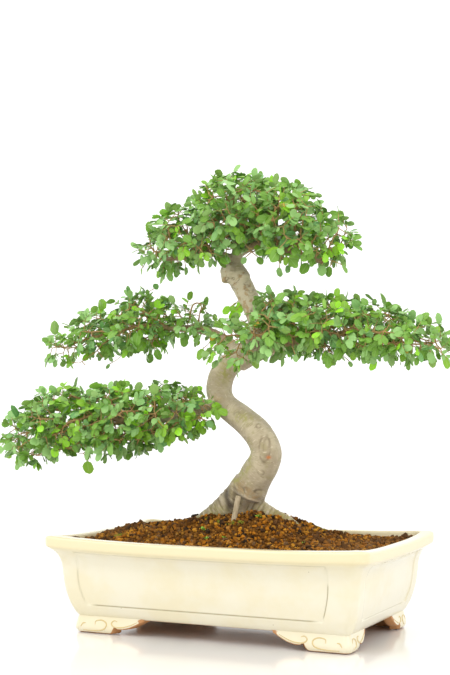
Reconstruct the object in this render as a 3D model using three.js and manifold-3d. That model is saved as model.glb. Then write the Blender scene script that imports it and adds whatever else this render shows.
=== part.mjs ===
// Chinese elm bonsai: an S-shaped trunk with leafy pads, growing in a cream glazed pot.
// Millimetres, +Z up. +X runs along the long side of the pot, and -Y is the front.
import * as THREE from 'three';
import { mergeVertices } from 'three/addons/utils/BufferGeometryUtils.js';
import { ImprovedNoise } from 'three/addons/math/ImprovedNoise.js';
import Module from 'manifold-3d';

const wasm = await Module();
wasm.setup();

// Pot
const potLength = 304;
const potDepth = 196;
const potHeight = 86.4;
const rimSag = 3.3;
const cornerRadius = 10;
const leastCorner = 5;
const cornerTightening = 0.2;
const sagStart = 45;
const lipWidth = 11;
const undersideHeight = 14;
const floorHeight = 21;
const footWall = 12;
const panelDepth = 1;
const panelBottom = 25;
const panelTop = 74;
const longPanel = [-122, 115];
const shortPanel = [-66, 66];
const drainRadius = 11;
const drainSpacing = 124;
const drainSides = 22;

// Outer wall of the pot from the underside up: height, and how far it is set in from the rim
const outerWall = [
  [undersideHeight, 23.5], [20, 20], [29, 16.2], [42, 13.4], [61, 11.3],
  [70, 8], [77, 0], [85, 0], [potHeight, 1.6],
];

// Inner wall from the lip down to the floor
const innerWall = [
  [potHeight, lipWidth - 1], [79, lipWidth + 1], [66, 18], [34, 22.5], [floorHeight, 28],
];

// Feet, from the ground up into the floor of the pot
const footProfile = [[0, 22], [4, 20.6], [9, 21], [16, 25]];
const longWindow = { contact: 96, tongue: 62 };
const shortWindow = { contact: 60, tongue: 36 };

// Soil: a mound of two heaps, a broad one to the left and a steep one under the trunk
const soilEdgeStep = 1;
const heaps = [{ height: 14.1, middle: -69, spread: 102 }, { height: 22.6, middle: 13, spread: 58 }];
const heapMiddleY = 3;
const heapSpreadY = 58;
const soilRelief = 1.5;
const soilReliefSize = 7;
const soilRings = 8;

// Gap left between pieces that touch
const gap = 0.3;
const woodGap = 0.35;

// Drain mesh
const meshSize = 32;
const meshThickness = 1.6;
const meshHoles = 3;
const meshPitch = 9;
const meshHole = 6.4;
const meshLevel = floorHeight + gap + meshThickness / 2;

// Support peg beside the trunk
const pegRadius = 2.4;
const pegTop = new THREE.Vector3(7.6, -25, 121);
const pegBottom = new THREE.Vector3(-0.9, -25.5, 86);

// Leafy twigs: leaves in two ranks along a short stem, and one at its tip
const leafLength = 15;
const leafHalfWidth = 4.7;
const leafAngle = 52;
const leafAngleSpread = 12;
const leafSizes = [0.85, 1.1];
const leafTilts = [-0.23, 0.12];
const leafCup = 0.5;
const sideLeaves = 3;
const leafPitch = 5.2;
const bareStem = 5.5;
const axilStep = 2.4;
const twigThickness = 2;
const twigHalfWidth = 1.1;
const twigArch = 0.005;
const twigSink = 6;
const twigReach = 41;

// Half outline of a leaf as shares of its length and half width: widest point, a dip, a tooth
const leafOutline = [[0.34, 0.96], [0.58, 0.7], [0.72, 0.76]];

// How the twigs cover a pad
const twigSpacing = 42;
const twigClearance = 16.5;
const twigSizes = [0.75, 1.12];
const fullTwigPad = 36;
const twigLifts = [0.3, 0.88];
const twigLiftSpread = 0.3;
const twigDroop = 0.3;
const twigStray = 0.8;
const twigMiddle = 0.55;
const twigEnd = 0.9;
const middleClear = 0.75;
const endClear = 0.85;

// The twiggy heart of each pad, as a share of the pad's envelope
const heartShare = 0.42;
const heartReaches = [0.85, 1.3];
const rootDepth = 0.7;
const spineRadius = 4;
const woodClearance = 5;

// Wood: each limb is a list of points x, y, z and radius, under a knobbly skin
const trunkRelief = 1.3;
const rootRelief = 1.4;
const knobSize = [9, 9, 14];
const trunk = [
  [3, 3, 82, 13], [1, 3, 96, 14], [2, 2, 108, 13.4], [6.5, -1, 121, 15], [15, -4, 138, 15.2],
  [23, -5, 150, 14.4], [25.5, -6, 162, 13.8], [17.5, -5, 176, 13.2], [0, -2, 190, 12],
  [-18, 1, 202, 11.4], [-25, 3, 214, 11.8], [-23.5, 4, 227, 11.8], [-15, 3, 238, 11],
  [0, 0, 247, 10.2], [14, -3, 257, 9.6], [19, -4, 269, 9.2], [14, -3, 284, 8.8],
  [7, -1, 298, 9.2], [0, 0, 310, 9.8], [-6, 1, 322, 10], [-8, 1, 331, 6.5],
];
const roots = [
  [[6, -4, 134, 11], [-6, -5, 117, 12], [-22, -6, 105, 9.5], [-37, -7, 97, 6.5], [-51, -8, 88, 4]],
  [[8, 2, 112, 9], [24, 9, 102, 7.6], [38, 14, 96, 6], [50, 17, 89, 3.5]],
  [[2, 6, 120, 10], [-6, 22, 106, 7.5], [-13, 36, 94, 4.5]],
];
const limbs = [
  [[-18, 1, 205, 8], [-36, -12, 199, 6], [-72, -25, 190, 4.5]],
  [[-4, 3, 249, 7], [-27, 12, 264, 4.8], [-50, 15, 272, 4], [-80, 18, 274, 3.2]],
  [[-2, 0, 240, 8], [20, -5, 249, 7], [50, -8, 258, 5.4], [84, -8, 264, 4]],
  [[10, -6, 262, 5], [23, -30, 265, 3.2]],
  [[13, -2, 280, 5.5], [22, 24, 276, 3.6]],
  [[-6, 1, 322, 6], [-6, 1, 340, 4.8], [-6, 1, 354, 4], [-1, 0, 372, 3], [2, 0, 386, 2.2]],
  [[-6, 1, 333, 5], [-28, -5, 341, 3.4], [-54, -9, 338, 2.6], [-76, -8, 337, 1.9]],
  [[-6, 1, 340, 4.6], [20, -5, 347, 3.6], [50, -7, 339, 2.8], [80, -6, 328, 1.9]],
];
const pruningScar = { centre: [-11, -3, 322.5], radii: [9.5, 9.5, 10.2] };

// Envelope of each pad: lobes of centre x, y, z and half sizes x, y, z
const pads = {
  low_left_foliage: [
    [-197, -48, 170, 26, 36, 29], [-163, -42, 186, 40, 50, 35], [-111, -36, 186, 44, 54, 37],
    [-65, -28, 193, 38, 44, 30], [-35, -26, 194, 23, 28, 19],
  ],
  mid_left_foliage: [
    [-202, 20, 256, 19, 28, 17], [-165, 22, 270, 30, 36, 25], [-116, 22, 279, 35, 46, 32],
    [-63, 18, 277, 23, 36, 21],
  ],
  right_foliage: [
    [49, -8, 272, 33, 44, 31], [90, -8, 269, 35, 50, 31], [132, -8, 265, 35, 48, 27],
    [168, -8, 256, 28, 40, 21], [188, -8, 248, 15, 26, 15], [39, -42, 261, 24, 26, 25],
    [16, -38, 249, 17, 20, 18], [18, 46, 274, 36, 30, 31],
  ],
  crown_foliage: [
    [-77, -4, 344, 30, 38, 25], [-49, -14, 364, 34, 46, 31], [4, -28, 377, 39, 42, 35],
    [6, 30, 379, 41, 42, 35], [51, -12, 369, 38, 48, 35], [86, 0, 350, 25, 40, 28],
    [-17, -34, 341, 22, 24, 16], [62, -18, 335, 32, 34, 16],
  ],
};

// Seeds of the random draws in each pad, in the same order
const padSeeds = [16, 16, 18, 21];

const noise = new ImprovedNoise();

function seededRandom(seed) {
  let state = seed;
  return () => {
    state = (state * 1664525 + 1013904223) % 4294967296;
    return state / 4294967296;
  };
}

function between([low, high], share) {
  return low + (high - low) * share;
}

function toSolid(geometry) {
  const bare = geometry.clone();
  bare.deleteAttribute('normal');
  bare.deleteAttribute('uv');
  const merged = mergeVertices(bare, 1e-3);
  return new wasm.Manifold(new wasm.Mesh({
    numProp: 3,
    vertProperties: Float32Array.from(merged.attributes.position.array),
    triVerts: Uint32Array.from(merged.index.array),
  }));
}

function toGeometry(solid) {
  const mesh = solid.getMesh();
  const geometry = new THREE.BufferGeometry();
  geometry.setAttribute('position', new THREE.BufferAttribute(mesh.vertProperties, 3));
  geometry.setIndex(new THREE.BufferAttribute(mesh.triVerts, 1));
  geometry.computeVertexNormals();
  return geometry;
}

function joinAll(solids) {
  return solids.reduce((joined, solid) => joined.add(solid));
}

function largestBody(solid) {
  return solid.decompose().sort((a, b) => b.volume() - a.volume())[0];
}

// A closed cylinder whose every vertex is put where place(side, step, onAxis) says
function wrapCylinder(sides, steps, place) {
  const geometry = new THREE.CylinderGeometry(1, 1, 1, sides, steps);
  const position = geometry.attributes.position;
  for (let i = 0; i < position.count; i++) {
    const onAxis = Math.hypot(position.getX(i), position.getZ(i)) < 0.5;
    const turn = Math.atan2(position.getX(i), position.getZ(i)) / (2 * Math.PI);
    const side = (Math.round(turn * sides) + sides) % sides;
    const step = Math.round((position.getY(i) + 0.5) * steps);
    const point = place(side, step, onAxis);
    position.setXYZ(i, point.x, point.y, point.z);
  }
  return toSolid(geometry);
}

// Points of a rectangle with round corners, counter-clockwise
function roundedRing(halfX, halfY, radius) {
  const cornerSteps = 2;
  const points = [];
  const signs = [[1, 1], [-1, 1], [-1, -1], [1, -1]];
  signs.forEach(([signX, signY], quarter) => {
    for (let i = 0; i <= cornerSteps; i++) {
      const turn = (quarter + i / cornerSteps) * Math.PI / 2;
      const x = signX * (halfX - radius) + radius * Math.cos(turn);
      const y = signY * (halfY - radius) + radius * Math.sin(turn);
      points.push(new THREE.Vector2(x, y));
    }
    const last = points[points.length - 1];
    const nextSigns = signs[(quarter + 1) % 4];
    const next = quarter % 2 === 0
      ? new THREE.Vector2(nextSigns[0] * (halfX - radius), last.y)
      : new THREE.Vector2(last.x, nextSigns[1] * (halfY - radius));
    const sideSteps = quarter % 2 === 0 ? 6 : 4;
    for (let i = 1; i < sideSteps; i++) points.push(last.clone().lerp(next, i / sideSteps));
  });
  return points;
}
const ringSides = roundedRing(2, 2, 1).length;

function potRing(inset, extra = 0) {
  const radius = Math.max(leastCorner, cornerRadius - cornerTightening * inset);
  const halfX = potLength / 2 - inset - extra;
  const halfY = potDepth / 2 - inset - extra;
  return roundedRing(halfX, halfY, radius);
}

// The rim rises to its corners; the walls below take less and less of that rise
function rimDip(point, inset, height) {
  const alongX = Math.abs(point.x) / (potLength / 2 - inset);
  const alongY = Math.abs(point.y) / (potDepth / 2 - inset);
  const rise = Math.min(alongX, alongY) ** 3;
  const share = THREE.MathUtils.smoothstep(height, sagStart, potHeight);
  return rimSag * share * (1 - rise);
}

function potWallPoint(side, [height, inset], extra = 0) {
  const point = potRing(inset, extra)[side];
  return new THREE.Vector3(point.x, point.y, height - rimDip(point, inset, height));
}

function loft(profile, extra = 0) {
  return wrapCylinder(ringSides, profile.length - 1, (side, step, onAxis) => {
    if (onAxis) return new THREE.Vector3(0, 0, profile[step][0]);
    return potWallPoint(side, profile[step], extra);
  });
}

// The gap between two feet: a step up at each foot, then a curled tongue
function footWindow({ contact, tongue }) {
  const notch = contact - 7.5;
  const half = new THREE.Path();
  half.moveTo(contact, -1);
  half.lineTo(contact, 0);
  half.quadraticCurveTo(contact - 4.5, 0.5, contact - 6, 6);
  half.lineTo(notch, 6);
  half.quadraticCurveTo(notch - 2.5, 3.2, notch - 8, 5);
  half.quadraticCurveTo(tongue + 8, 6.5, tongue + 4, 10);
  half.quadraticCurveTo(tongue + 1, 10.5, tongue, undersideHeight);
  const right = half.getPoints(3);
  const left = right.map(({ x, y }) => new THREE.Vector2(-x, y)).reverse();
  return new THREE.Shape([...right, ...left]);
}

// Outline of a sunk panel, narrower at the bottom as the wall is
function panelOutline(left, right) {
  const taper = 6;
  const outline = new THREE.Shape();
  outline.moveTo(left + taper, panelBottom);
  outline.lineTo(right - taper, panelBottom);
  outline.quadraticCurveTo(right - 1, (panelBottom + panelTop) / 2 - 8, right, panelTop);
  outline.lineTo(left, panelTop);
  outline.quadraticCurveTo(left + 1, (panelBottom + panelTop) / 2 - 8, left + taper, panelBottom);
  return outline;
}

// A prism of an upright outline that runs right through the pot, front to back at turn 0
function prismThrough(outline, turn) {
  const length = 2 * potLength;
  const options = { depth: length, bevelEnabled: false, curveSegments: 3 };
  const geometry = new THREE.ExtrudeGeometry(outline, options);
  geometry.translate(0, 0, -length / 2);
  geometry.rotateX(Math.PI / 2);
  geometry.rotateZ(turn);
  return toSolid(geometry);
}

function makePot() {
  const quarter = Math.PI / 2;
  const sinkPanels = prismThrough(panelOutline(...longPanel), 0)
    .add(prismThrough(panelOutline(...shortPanel), quarter))
    .subtract(loft(outerWall, panelDepth));
  const feet = loft(footProfile)
    .subtract(loft([[-1, footProfile[0][1] + footWall], [undersideHeight, outerWall[0][1] + footWall]]))
    .subtract(prismThrough(footWindow(longWindow), 0))
    .subtract(prismThrough(footWindow(shortWindow), quarter));
  let pot = loft([...outerWall, ...innerWall]).subtract(sinkPanels).add(feet);
  for (const x of [-drainSpacing / 2, drainSpacing / 2]) {
    const hole = new THREE.CylinderGeometry(drainRadius, drainRadius, 3 * floorHeight, drainSides);
    hole.rotateX(Math.PI / 2);
    hole.translate(x, 0, floorHeight);
    pot = pot.subtract(toSolid(hole));
  }
  return pot;
}

// A tapering limb along a smooth curve through its points, with a knobbly skin
function makeLimb(points, sides, stepsPerPoint, { grow = 0, relief = 0 } = {}) {
  const curve = new THREE.CatmullRomCurve3(points.map(([x, y, z]) => new THREE.Vector3(x, y, z)));
  const steps = (points.length - 1) * stepsPerPoint;
  const rings = [];
  let normal = new THREE.Vector3(0.2, 1, 0.1);
  for (let step = 0; step <= steps; step++) {
    const t = step / steps;
    const tangent = curve.getTangent(t);
    normal = normal.clone().addScaledVector(tangent, -normal.dot(tangent)).normalize();
    const at = t * (points.length - 1);
    const index = Math.min(Math.floor(at), points.length - 2);
    const radius = THREE.MathUtils.lerp(points[index][3], points[index + 1][3], at - index);
    const binormal = tangent.clone().cross(normal);
    rings.push({ centre: curve.getPoint(t), tangent, normal, binormal, radius });
  }
  return wrapCylinder(sides, steps, (side, step, onAxis) => {
    const ring = rings[step];
    if (onAxis) {
      const end = step === 0 ? -grow : grow;
      return ring.centre.clone().addScaledVector(ring.tangent, end);
    }
    const turn = 2 * Math.PI * side / sides;
    const skin = ring.normal.clone().multiplyScalar(Math.cos(turn))
      .addScaledVector(ring.binormal, Math.sin(turn));
    const point = ring.centre.clone().addScaledVector(skin, ring.radius);
    const [knobX, knobY, knobZ] = knobSize;
    const bump = relief * noise.noise(point.x / knobX, point.y / knobY, point.z / knobZ);
    return point.addScaledVector(skin, bump + grow);
  });
}

function makeScar(grow) {
  const geometry = new THREE.IcosahedronGeometry(1, 1);
  const [rx, ry, rz] = pruningScar.radii;
  geometry.scale(rx + grow, ry + grow, rz + grow);
  geometry.translate(...pruningScar.centre);
  return toSolid(geometry);
}

function makeWood(grow = 0) {
  return joinAll([
    makeLimb(trunk, 10, 2, { grow, relief: trunkRelief }),
    ...roots.map((points) => makeLimb(points, 8, 2, { grow, relief: rootRelief })),
    ...limbs.map((points) => makeLimb(points, 6, 1, { grow })),
    makeScar(grow),
  ]);
}

function soilHeight(x, y) {
  const fall = (from, spread) => Math.exp(-((from / spread) ** 2));
  const along = heaps.reduce((sum, heap) => sum + heap.height * fall(x - heap.middle, heap.spread), 0);
  const crumbs = soilRelief * noise.noise(x / soilReliefSize, y / soilReliefSize, 3.3);
  return along * fall(y - heapMiddleY, heapSpreadY) + crumbs;
}

function makeSoil(wood, peg) {
  const wall = innerWall.slice(soilEdgeStep).reverse();
  const edge = wall[wall.length - 1];
  wall[0] = [floorHeight + gap, wall[0][1]];
  const steps = wall.length - 1 + soilRings - 1;
  const body = wrapCylinder(ringSides, steps, (side, step, onAxis) => {
    if (step < wall.length - 1) {
      if (onAxis) return new THREE.Vector3(0, 0, wall[step][0]);
      return potWallPoint(side, wall[step], gap);
    }
    const rim = potWallPoint(side, edge, gap);
    const inward = (step - wall.length + 1) / soilRings;
    const x = onAxis ? 0 : rim.x * (1 - inward);
    const y = onAxis ? 0 : rim.y * (1 - inward);
    const rise = step === wall.length - 1 ? 0 : soilHeight(x, y);
    return new THREE.Vector3(x, y, (onAxis ? edge[0] - rimSag : rim.z) + rise);
  });
  const pockets = [-drainSpacing / 2, drainSpacing / 2].map((x) => {
    const side = meshSize + 2 * gap;
    const height = 2 * (meshThickness + gap);
    return toSolid(new THREE.BoxGeometry(side, side, height).translate(x, 0, floorHeight + gap));
  });
  return pockets.reduce((soil, pocket) => soil.subtract(pocket), body.subtract(wood).subtract(peg));
}

function makeDrainMesh(x) {
  const plate = new THREE.BoxGeometry(meshSize, meshSize, meshThickness);
  let mesh = toSolid(plate.translate(x, 0, meshLevel));
  for (let row = 0; row < meshHoles; row++) {
    for (let column = 0; column < meshHoles; column++) {
      const holeX = x + (column - (meshHoles - 1) / 2) * meshPitch;
      const holeY = (row - (meshHoles - 1) / 2) * meshPitch;
      const hole = new THREE.BoxGeometry(meshHole, meshHole, 3 * meshThickness);
      mesh = mesh.subtract(toSolid(hole.translate(holeX, holeY, meshLevel)));
    }
  }
  return mesh;
}

function makePeg(grow = 0) {
  const below = grow > 0 ? grow : 0;
  const bottom = pegBottom.clone().setZ(pegBottom.z - below);
  const points = [0, 0.5, 1].map((t) => [...bottom.clone().lerp(pegTop, t).toArray(), pegRadius]);
  return makeLimb(points, 8, 1, { grow });
}

// One thin closed blade holds a twig and its leaves. Points on its edge are shared by both
// faces, and points on the stem are doubled, so the blade is thickest there.
function makeLeafyTwig(random) {
  const vertices = [];
  const faces = [];
  const sag = (x) => -twigArch * x * x;
  const edgePoint = (x, y, z) => {
    const index = vertices.push(new THREE.Vector3(x, y, z)) - 1;
    return [index, index];
  };
  const stemPoint = (x) => {
    const top = new THREE.Vector3(x, 0, sag(x) + twigThickness / 2);
    const bottom = new THREE.Vector3(x, 0, sag(x) - twigThickness / 2);
    const index = vertices.push(top, bottom) - 2;
    return [index, index + 1];
  };
  const skin = (a, b, c, flip) => {
    const [first, second] = flip ? [c, b] : [b, c];
    faces.push(a[0], first[0], second[0], a[1], second[1], first[1]);
  };
  const fan = (centre, ring, flip) => {
    for (let i = 0; i + 1 < ring.length; i++) skin(centre, ring[i], ring[i + 1], flip);
  };
  const leafEdge = (station, degrees, side) => {
    const turn = THREE.MathUtils.degToRad(degrees) * side;
    const size = between(leafSizes, random());
    const tilt = between(leafTilts, random());
    const back = leafOutline.slice().reverse();
    const outline = [...leafOutline.map(([along, across]) => [along, -across]), [1, 0], ...back];
    return outline.map(([along, share]) => {
      const length = along * leafLength * size;
      const across = -side * share * leafHalfWidth * size;
      const x = station + length * Math.cos(turn) - across * Math.sin(turn);
      const y = length * Math.sin(turn) + across * Math.cos(turn);
      return edgePoint(x, y, sag(station) + tilt * length + leafCup * Math.abs(share));
    });
  };

  const tip = sideLeaves + 1;
  const stations = [0];
  for (let i = 1; i <= tip; i++) stations.push(bareStem + i * leafPitch);
  const stem = stations.map(stemPoint);
  const root = edgePoint(-twigSink, 0, 0);
  const axils = [-1, 1].map((side) => edgePoint(0, side * twigHalfWidth, 0));
  const closedTo = [0, 0];
  const closeStem = (rank, last) => {
    for (let j = closedTo[rank]; j < last; j++) skin(axils[rank], stem[j + 1], stem[j], rank === 1);
    closedTo[rank] = last;
  };
  skin(root, axils[0], stem[0], false);
  skin(root, axils[1], stem[0], true);
  for (let k = 1; k <= sideLeaves; k++) {
    const rank = k % 2;
    const side = rank === 0 ? -1 : 1;
    closeStem(rank, k);
    const edge = leafEdge(stations[k], leafAngle + leafAngleSpread * (random() - 0.5), side);
    const axilAt = stations[Math.min(k + 2, tip)] - axilStep;
    const axil = edgePoint(axilAt, side * twigHalfWidth, sag(axilAt));
    fan(stem[k], [axils[rank], ...edge, axil], side > 0);
    axils[rank] = axil;
  }
  closeStem(0, tip);
  closeStem(1, tip);
  fan(stem[tip], [axils[0], ...leafEdge(stations[tip], 0, -1).reverse(), axils[1]], false);

  const geometry = new THREE.BufferGeometry().setFromPoints(vertices);
  geometry.setIndex(faces);
  return geometry;
}

function lobeCentre([x, y, z]) {
  return new THREE.Vector3(x, y, z);
}

function lobeRadii(lobe) {
  return new THREE.Vector3(lobe[3], lobe[4], lobe[5]);
}

function insideLobe(point, lobe, share) {
  return point.clone().sub(lobeCentre(lobe)).divide(lobeRadii(lobe)).length() < share;
}

// A ragged lump: neighbouring points stand out and sink in at the scale of the leaves
function makeHeart(lobe, random) {
  const geometry = new THREE.DodecahedronGeometry(heartShare);
  const position = geometry.attributes.position;
  const reaches = new Map();
  for (let i = 0; i < position.count; i++) {
    const point = new THREE.Vector3().fromBufferAttribute(position, i);
    const key = point.toArray().map((value) => Math.round(value * 1000)).join();
    if (!reaches.has(key)) reaches.set(key, between(heartReaches, random()));
    point.multiply(lobeRadii(lobe)).multiplyScalar(reaches.get(key));
    position.setXYZ(i, point.x, point.y, point.z);
  }
  geometry.translate(lobe[0], lobe[1], lobe[2]);
  return toSolid(geometry);
}

function nearWood(point) {
  return [trunk, ...limbs].some((points) => points.slice(1).some((end, index) => {
    const start = points[index];
    const line = new THREE.Line3(new THREE.Vector3(...start), new THREE.Vector3(...end));
    const nearest = line.closestPointToPoint(point, true, new THREE.Vector3());
    return nearest.distanceTo(point) < Math.max(start[3], end[3]) + woodClearance;
  }));
}

// How a twig stands: rooted in the heart, rising off it sideways and drooping outwards
function twigStance(lobe, direction, random) {
  const radii = lobeRadii(lobe);
  const outward = direction.clone().divide(radii).normalize();
  const rootShare = heartShare * rootDepth;
  const root = direction.clone().multiply(radii).multiplyScalar(rootShare).add(lobeCentre(lobe));
  const [strayX, strayY] = [random() - 0.5, random() - 0.5];
  const aside = new THREE.Vector3(direction.x + strayX, direction.y + strayY, -twigDroop);
  const along = aside.addScaledVector(outward, -aside.dot(outward)).normalize();
  const size = THREE.MathUtils.clamp((radii.x + radii.y + radii.z) / 3 / fullTwigPad, ...twigSizes);
  const reach = twigReach * size;
  const room = (1 - heartShare) * direction.clone().multiply(radii).length() + twigSink;
  const lift = Math.asin(THREE.MathUtils.clamp(room / reach, ...twigLifts));
  const rise = lift + twigLiftSpread * (random() - 0.5);
  const blade = along.clone().multiplyScalar(Math.cos(rise)).addScaledVector(outward, Math.sin(rise));
  const face = outward.clone().multiplyScalar(Math.cos(rise)).addScaledVector(along, -Math.sin(rise));
  return {
    middle: root.clone().addScaledVector(blade, twigMiddle * reach),
    tip: root.clone().addScaledVector(blade, twigEnd * reach),
    pose: new THREE.Matrix4().makeBasis(blade, face.clone().cross(blade), face)
      .setPosition(root).multiply(new THREE.Matrix4().makeScale(size, size, 1)),
  };
}

// Twigs spread evenly over each lobe, clear of each other, of the wood and of the other lobes
function placeTwigs(lobes, random) {
  const twigs = [];
  const placed = [];
  const goldenTurn = Math.PI * (3 - Math.sqrt(5));
  for (const lobe of lobes) {
    const { x, y, z } = lobeRadii(lobe);
    const count = Math.round(4 * Math.PI * (x * y + y * z + z * x) / 3 / twigSpacing ** 2);
    for (let i = 0; i < count; i++) {
      const height = 1 - 2 * (i + 0.5) / count;
      const ring = Math.sqrt(1 - height * height);
      const turn = i * goldenTurn + twigStray * random();
      const direction = new THREE.Vector3(ring * Math.cos(turn), ring * Math.sin(turn), height);
      const { middle, tip, pose } = twigStance(lobe, direction, random);
      const buried = lobes.some((other) => other !== lobe
        && (insideLobe(middle, other, middleClear) || insideLobe(tip, other, endClear)));
      const crowded = placed.some((other) => other.distanceTo(middle) < twigClearance);
      if (buried || crowded || nearWood(middle) || nearWood(tip)) continue;
      twigs.push(toSolid(makeLeafyTwig(random).applyMatrix4(pose)));
      placed.push(middle);
    }
  }
  return twigs;
}

// Branchlets that string the hearts together, each to the nearest one before it
function makeSpine(lobes) {
  return lobes.slice(1).map((lobe, index) => {
    const centre = lobeCentre(lobe);
    const earlier = lobes.slice(0, index + 1).map(lobeCentre);
    const nearest = earlier.sort((a, b) => a.distanceTo(centre) - b.distanceTo(centre))[0];
    const ends = [nearest, centre].map((point) => [...point.toArray(), spineRadius]);
    return makeLimb(ends, 5, 1);
  });
}

function makeFoliage(lobes, seed, wood) {
  const random = seededRandom(seed);
  const hearts = [...lobes.map((lobe) => makeHeart(lobe, random)), ...makeSpine(lobes)];
  const twigs = placeTwigs(lobes, random);
  return largestBody(joinAll([...hearts, ...twigs]).subtract(wood));
}

function named(name, solid, color, roughness) {
  const material = new THREE.MeshStandardMaterial({ color, roughness, metalness: 0 });
  const mesh = new THREE.Mesh(toGeometry(solid), material);
  mesh.name = name;
  return mesh;
}

function build() {
  const plant = new THREE.Group();
  const clearWood = makeWood(woodGap);
  plant.add(named('pot', makePot(), 0xf4ecd4, 0.25));
  plant.add(named('soil', makeSoil(clearWood, makePeg(gap)), 0x6a4527, 0.95));
  plant.add(named('trunk', makeWood(), 0xb9ab93, 0.8));
  plant.add(named('peg', makePeg(), 0xbfa98a, 0.8));
  plant.add(named('drain_mesh_left', makeDrainMesh(-drainSpacing / 2), 0x2c2f2c, 0.6));
  plant.add(named('drain_mesh_right', makeDrainMesh(drainSpacing / 2), 0x2c2f2c, 0.6));
  Object.entries(pads).forEach(([name, lobes], index) => {
    plant.add(named(name, makeFoliage(lobes, padSeeds[index], clearWood), 0x3f7a3c, 0.55));
  });
  return plant;
}

// The origin is the middle of the bonsai's footprint, on the surface that it stands on
const bonsai = new THREE.Group();
const plant = build();
const footprint = new THREE.Box3().setFromObject(plant);
const middle = footprint.getCenter(new THREE.Vector3());
plant.position.set(-middle.x, -middle.y, -footprint.min.z);
bonsai.add(plant);

export default bonsai;
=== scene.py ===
"""Chinese elm bonsai in a cream glazed pot: the finished look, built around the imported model."""
import math

import bpy
import numpy as np
from mathutils import Matrix, Vector, noise
from mathutils.bvhtree import BVHTree
from mathutils.kdtree import KDTree


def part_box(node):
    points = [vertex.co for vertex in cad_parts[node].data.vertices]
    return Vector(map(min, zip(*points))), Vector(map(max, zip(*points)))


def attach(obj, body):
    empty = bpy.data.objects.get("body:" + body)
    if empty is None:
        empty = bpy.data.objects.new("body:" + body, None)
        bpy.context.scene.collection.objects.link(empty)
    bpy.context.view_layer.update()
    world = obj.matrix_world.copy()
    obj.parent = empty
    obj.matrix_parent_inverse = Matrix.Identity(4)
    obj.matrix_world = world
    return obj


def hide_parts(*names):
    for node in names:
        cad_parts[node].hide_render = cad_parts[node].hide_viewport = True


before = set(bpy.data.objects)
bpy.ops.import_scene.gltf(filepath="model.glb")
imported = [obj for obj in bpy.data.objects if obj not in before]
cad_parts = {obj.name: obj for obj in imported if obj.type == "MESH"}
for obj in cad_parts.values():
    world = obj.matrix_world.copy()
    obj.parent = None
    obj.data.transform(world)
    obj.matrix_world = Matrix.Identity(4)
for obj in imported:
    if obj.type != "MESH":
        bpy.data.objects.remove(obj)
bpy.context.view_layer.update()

# The pot's footprint is the drawing's centre; every size below is in millimetres from there
POT_LOW, POT_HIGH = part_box("pot")
MIDDLE = np.array([(POT_LOW.x + POT_HIGH.x) / 2, (POT_LOW.y + POT_HIGH.y) / 2, 0.0])
MM = 0.001

# Pot
POT_LENGTH = (POT_HIGH.x - POT_LOW.x) / MM
POT_DEPTH = (POT_HIGH.y - POT_LOW.y) / MM
POT_HEIGHT = 86.4
RIM_SAG = 3.3
CORNER_RADIUS = 10
LEAST_CORNER = 5.0
CORNER_TIGHTENING = 0.2
MEAN_INSET = 14
UNDERSIDE = 14
OUTER_WALL = [(14, 26), (14.2, 24.6), (15.4, 22.9), (17.5, 21.4), (20, 20), (27, 17), (39, 13.8),
              (50.7, 12.3), (60, 11.4), (66, 9.8), (71, 7.2), (74.6, 3.4), (76.6, 0.9), (78.6, 0.1),
              (84.4, 0), (85.6, 0.5), (86.3, 1.8)]
LIP_AND_INNER_WALL = [(86.4, 3), (86.4, 9), (86, 10.2), (84.6, 11), (79, 12), (66, 18), (34, 22.5),
                      (24, 26), (21, 30)]
PANEL_DEPTH = 1.0
PANEL_LOW, PANEL_TOP = 25, 74
FRONT_PANEL, END_PANEL = (-122, 115), (-66, 66)
DRAIN_RADIUS, DRAIN_PLACES = 11, (-62, 62)
FOOT_FACE = [(0, 23.2), (2, 21.8), (4.5, 21.2), (7, 21.5), (9, 22), (12.5, 22.8), (16, 23.8), (18, 27)]
FOOT_TOP = 18
FOOT_WALL = 8
FOOT_ROUNDING = 1.3
# Past its ground contact a foot steps up over this length, then runs on as a curled tongue
FOOT_STEP = 9
# Where a foot's ground contact ends along the wall, and how far the foot runs on past it
LONG_FOOT = (96, 34)
SHORT_FOOT = (60, 24)
# Scroll lines on a foot: how far along the wall, and height
LONG_SCROLLS = [
    [(67, 12.1), (74, 9), (81, 7), (87, 6.6), (91, 7.6), (92.5, 10), (90, 12.2), (87, 11.4)],
    [(109, 7.8), (108.4, 10.8), (103, 11.8), (98.4, 10), (97.6, 7), (100.5, 4), (107, 2.7), (115, 2.2),
     (121, 2.6)],
    [(123.4, 5.2), (121.4, 8.2), (118.8, 8.6)],
]
SHORT_SCROLLS = [
    [(40, 12), (45, 9), (50, 7.2), (54, 6.8), (57, 7.8), (58, 10), (56, 12), (54, 11.2)],
    [(70, 7.8), (69.4, 10.6), (66, 11.6), (62.8, 10), (62.2, 7), (64, 4.4), (68.5, 3)],
]
SCROLL_RADIUS = 0.62

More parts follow.
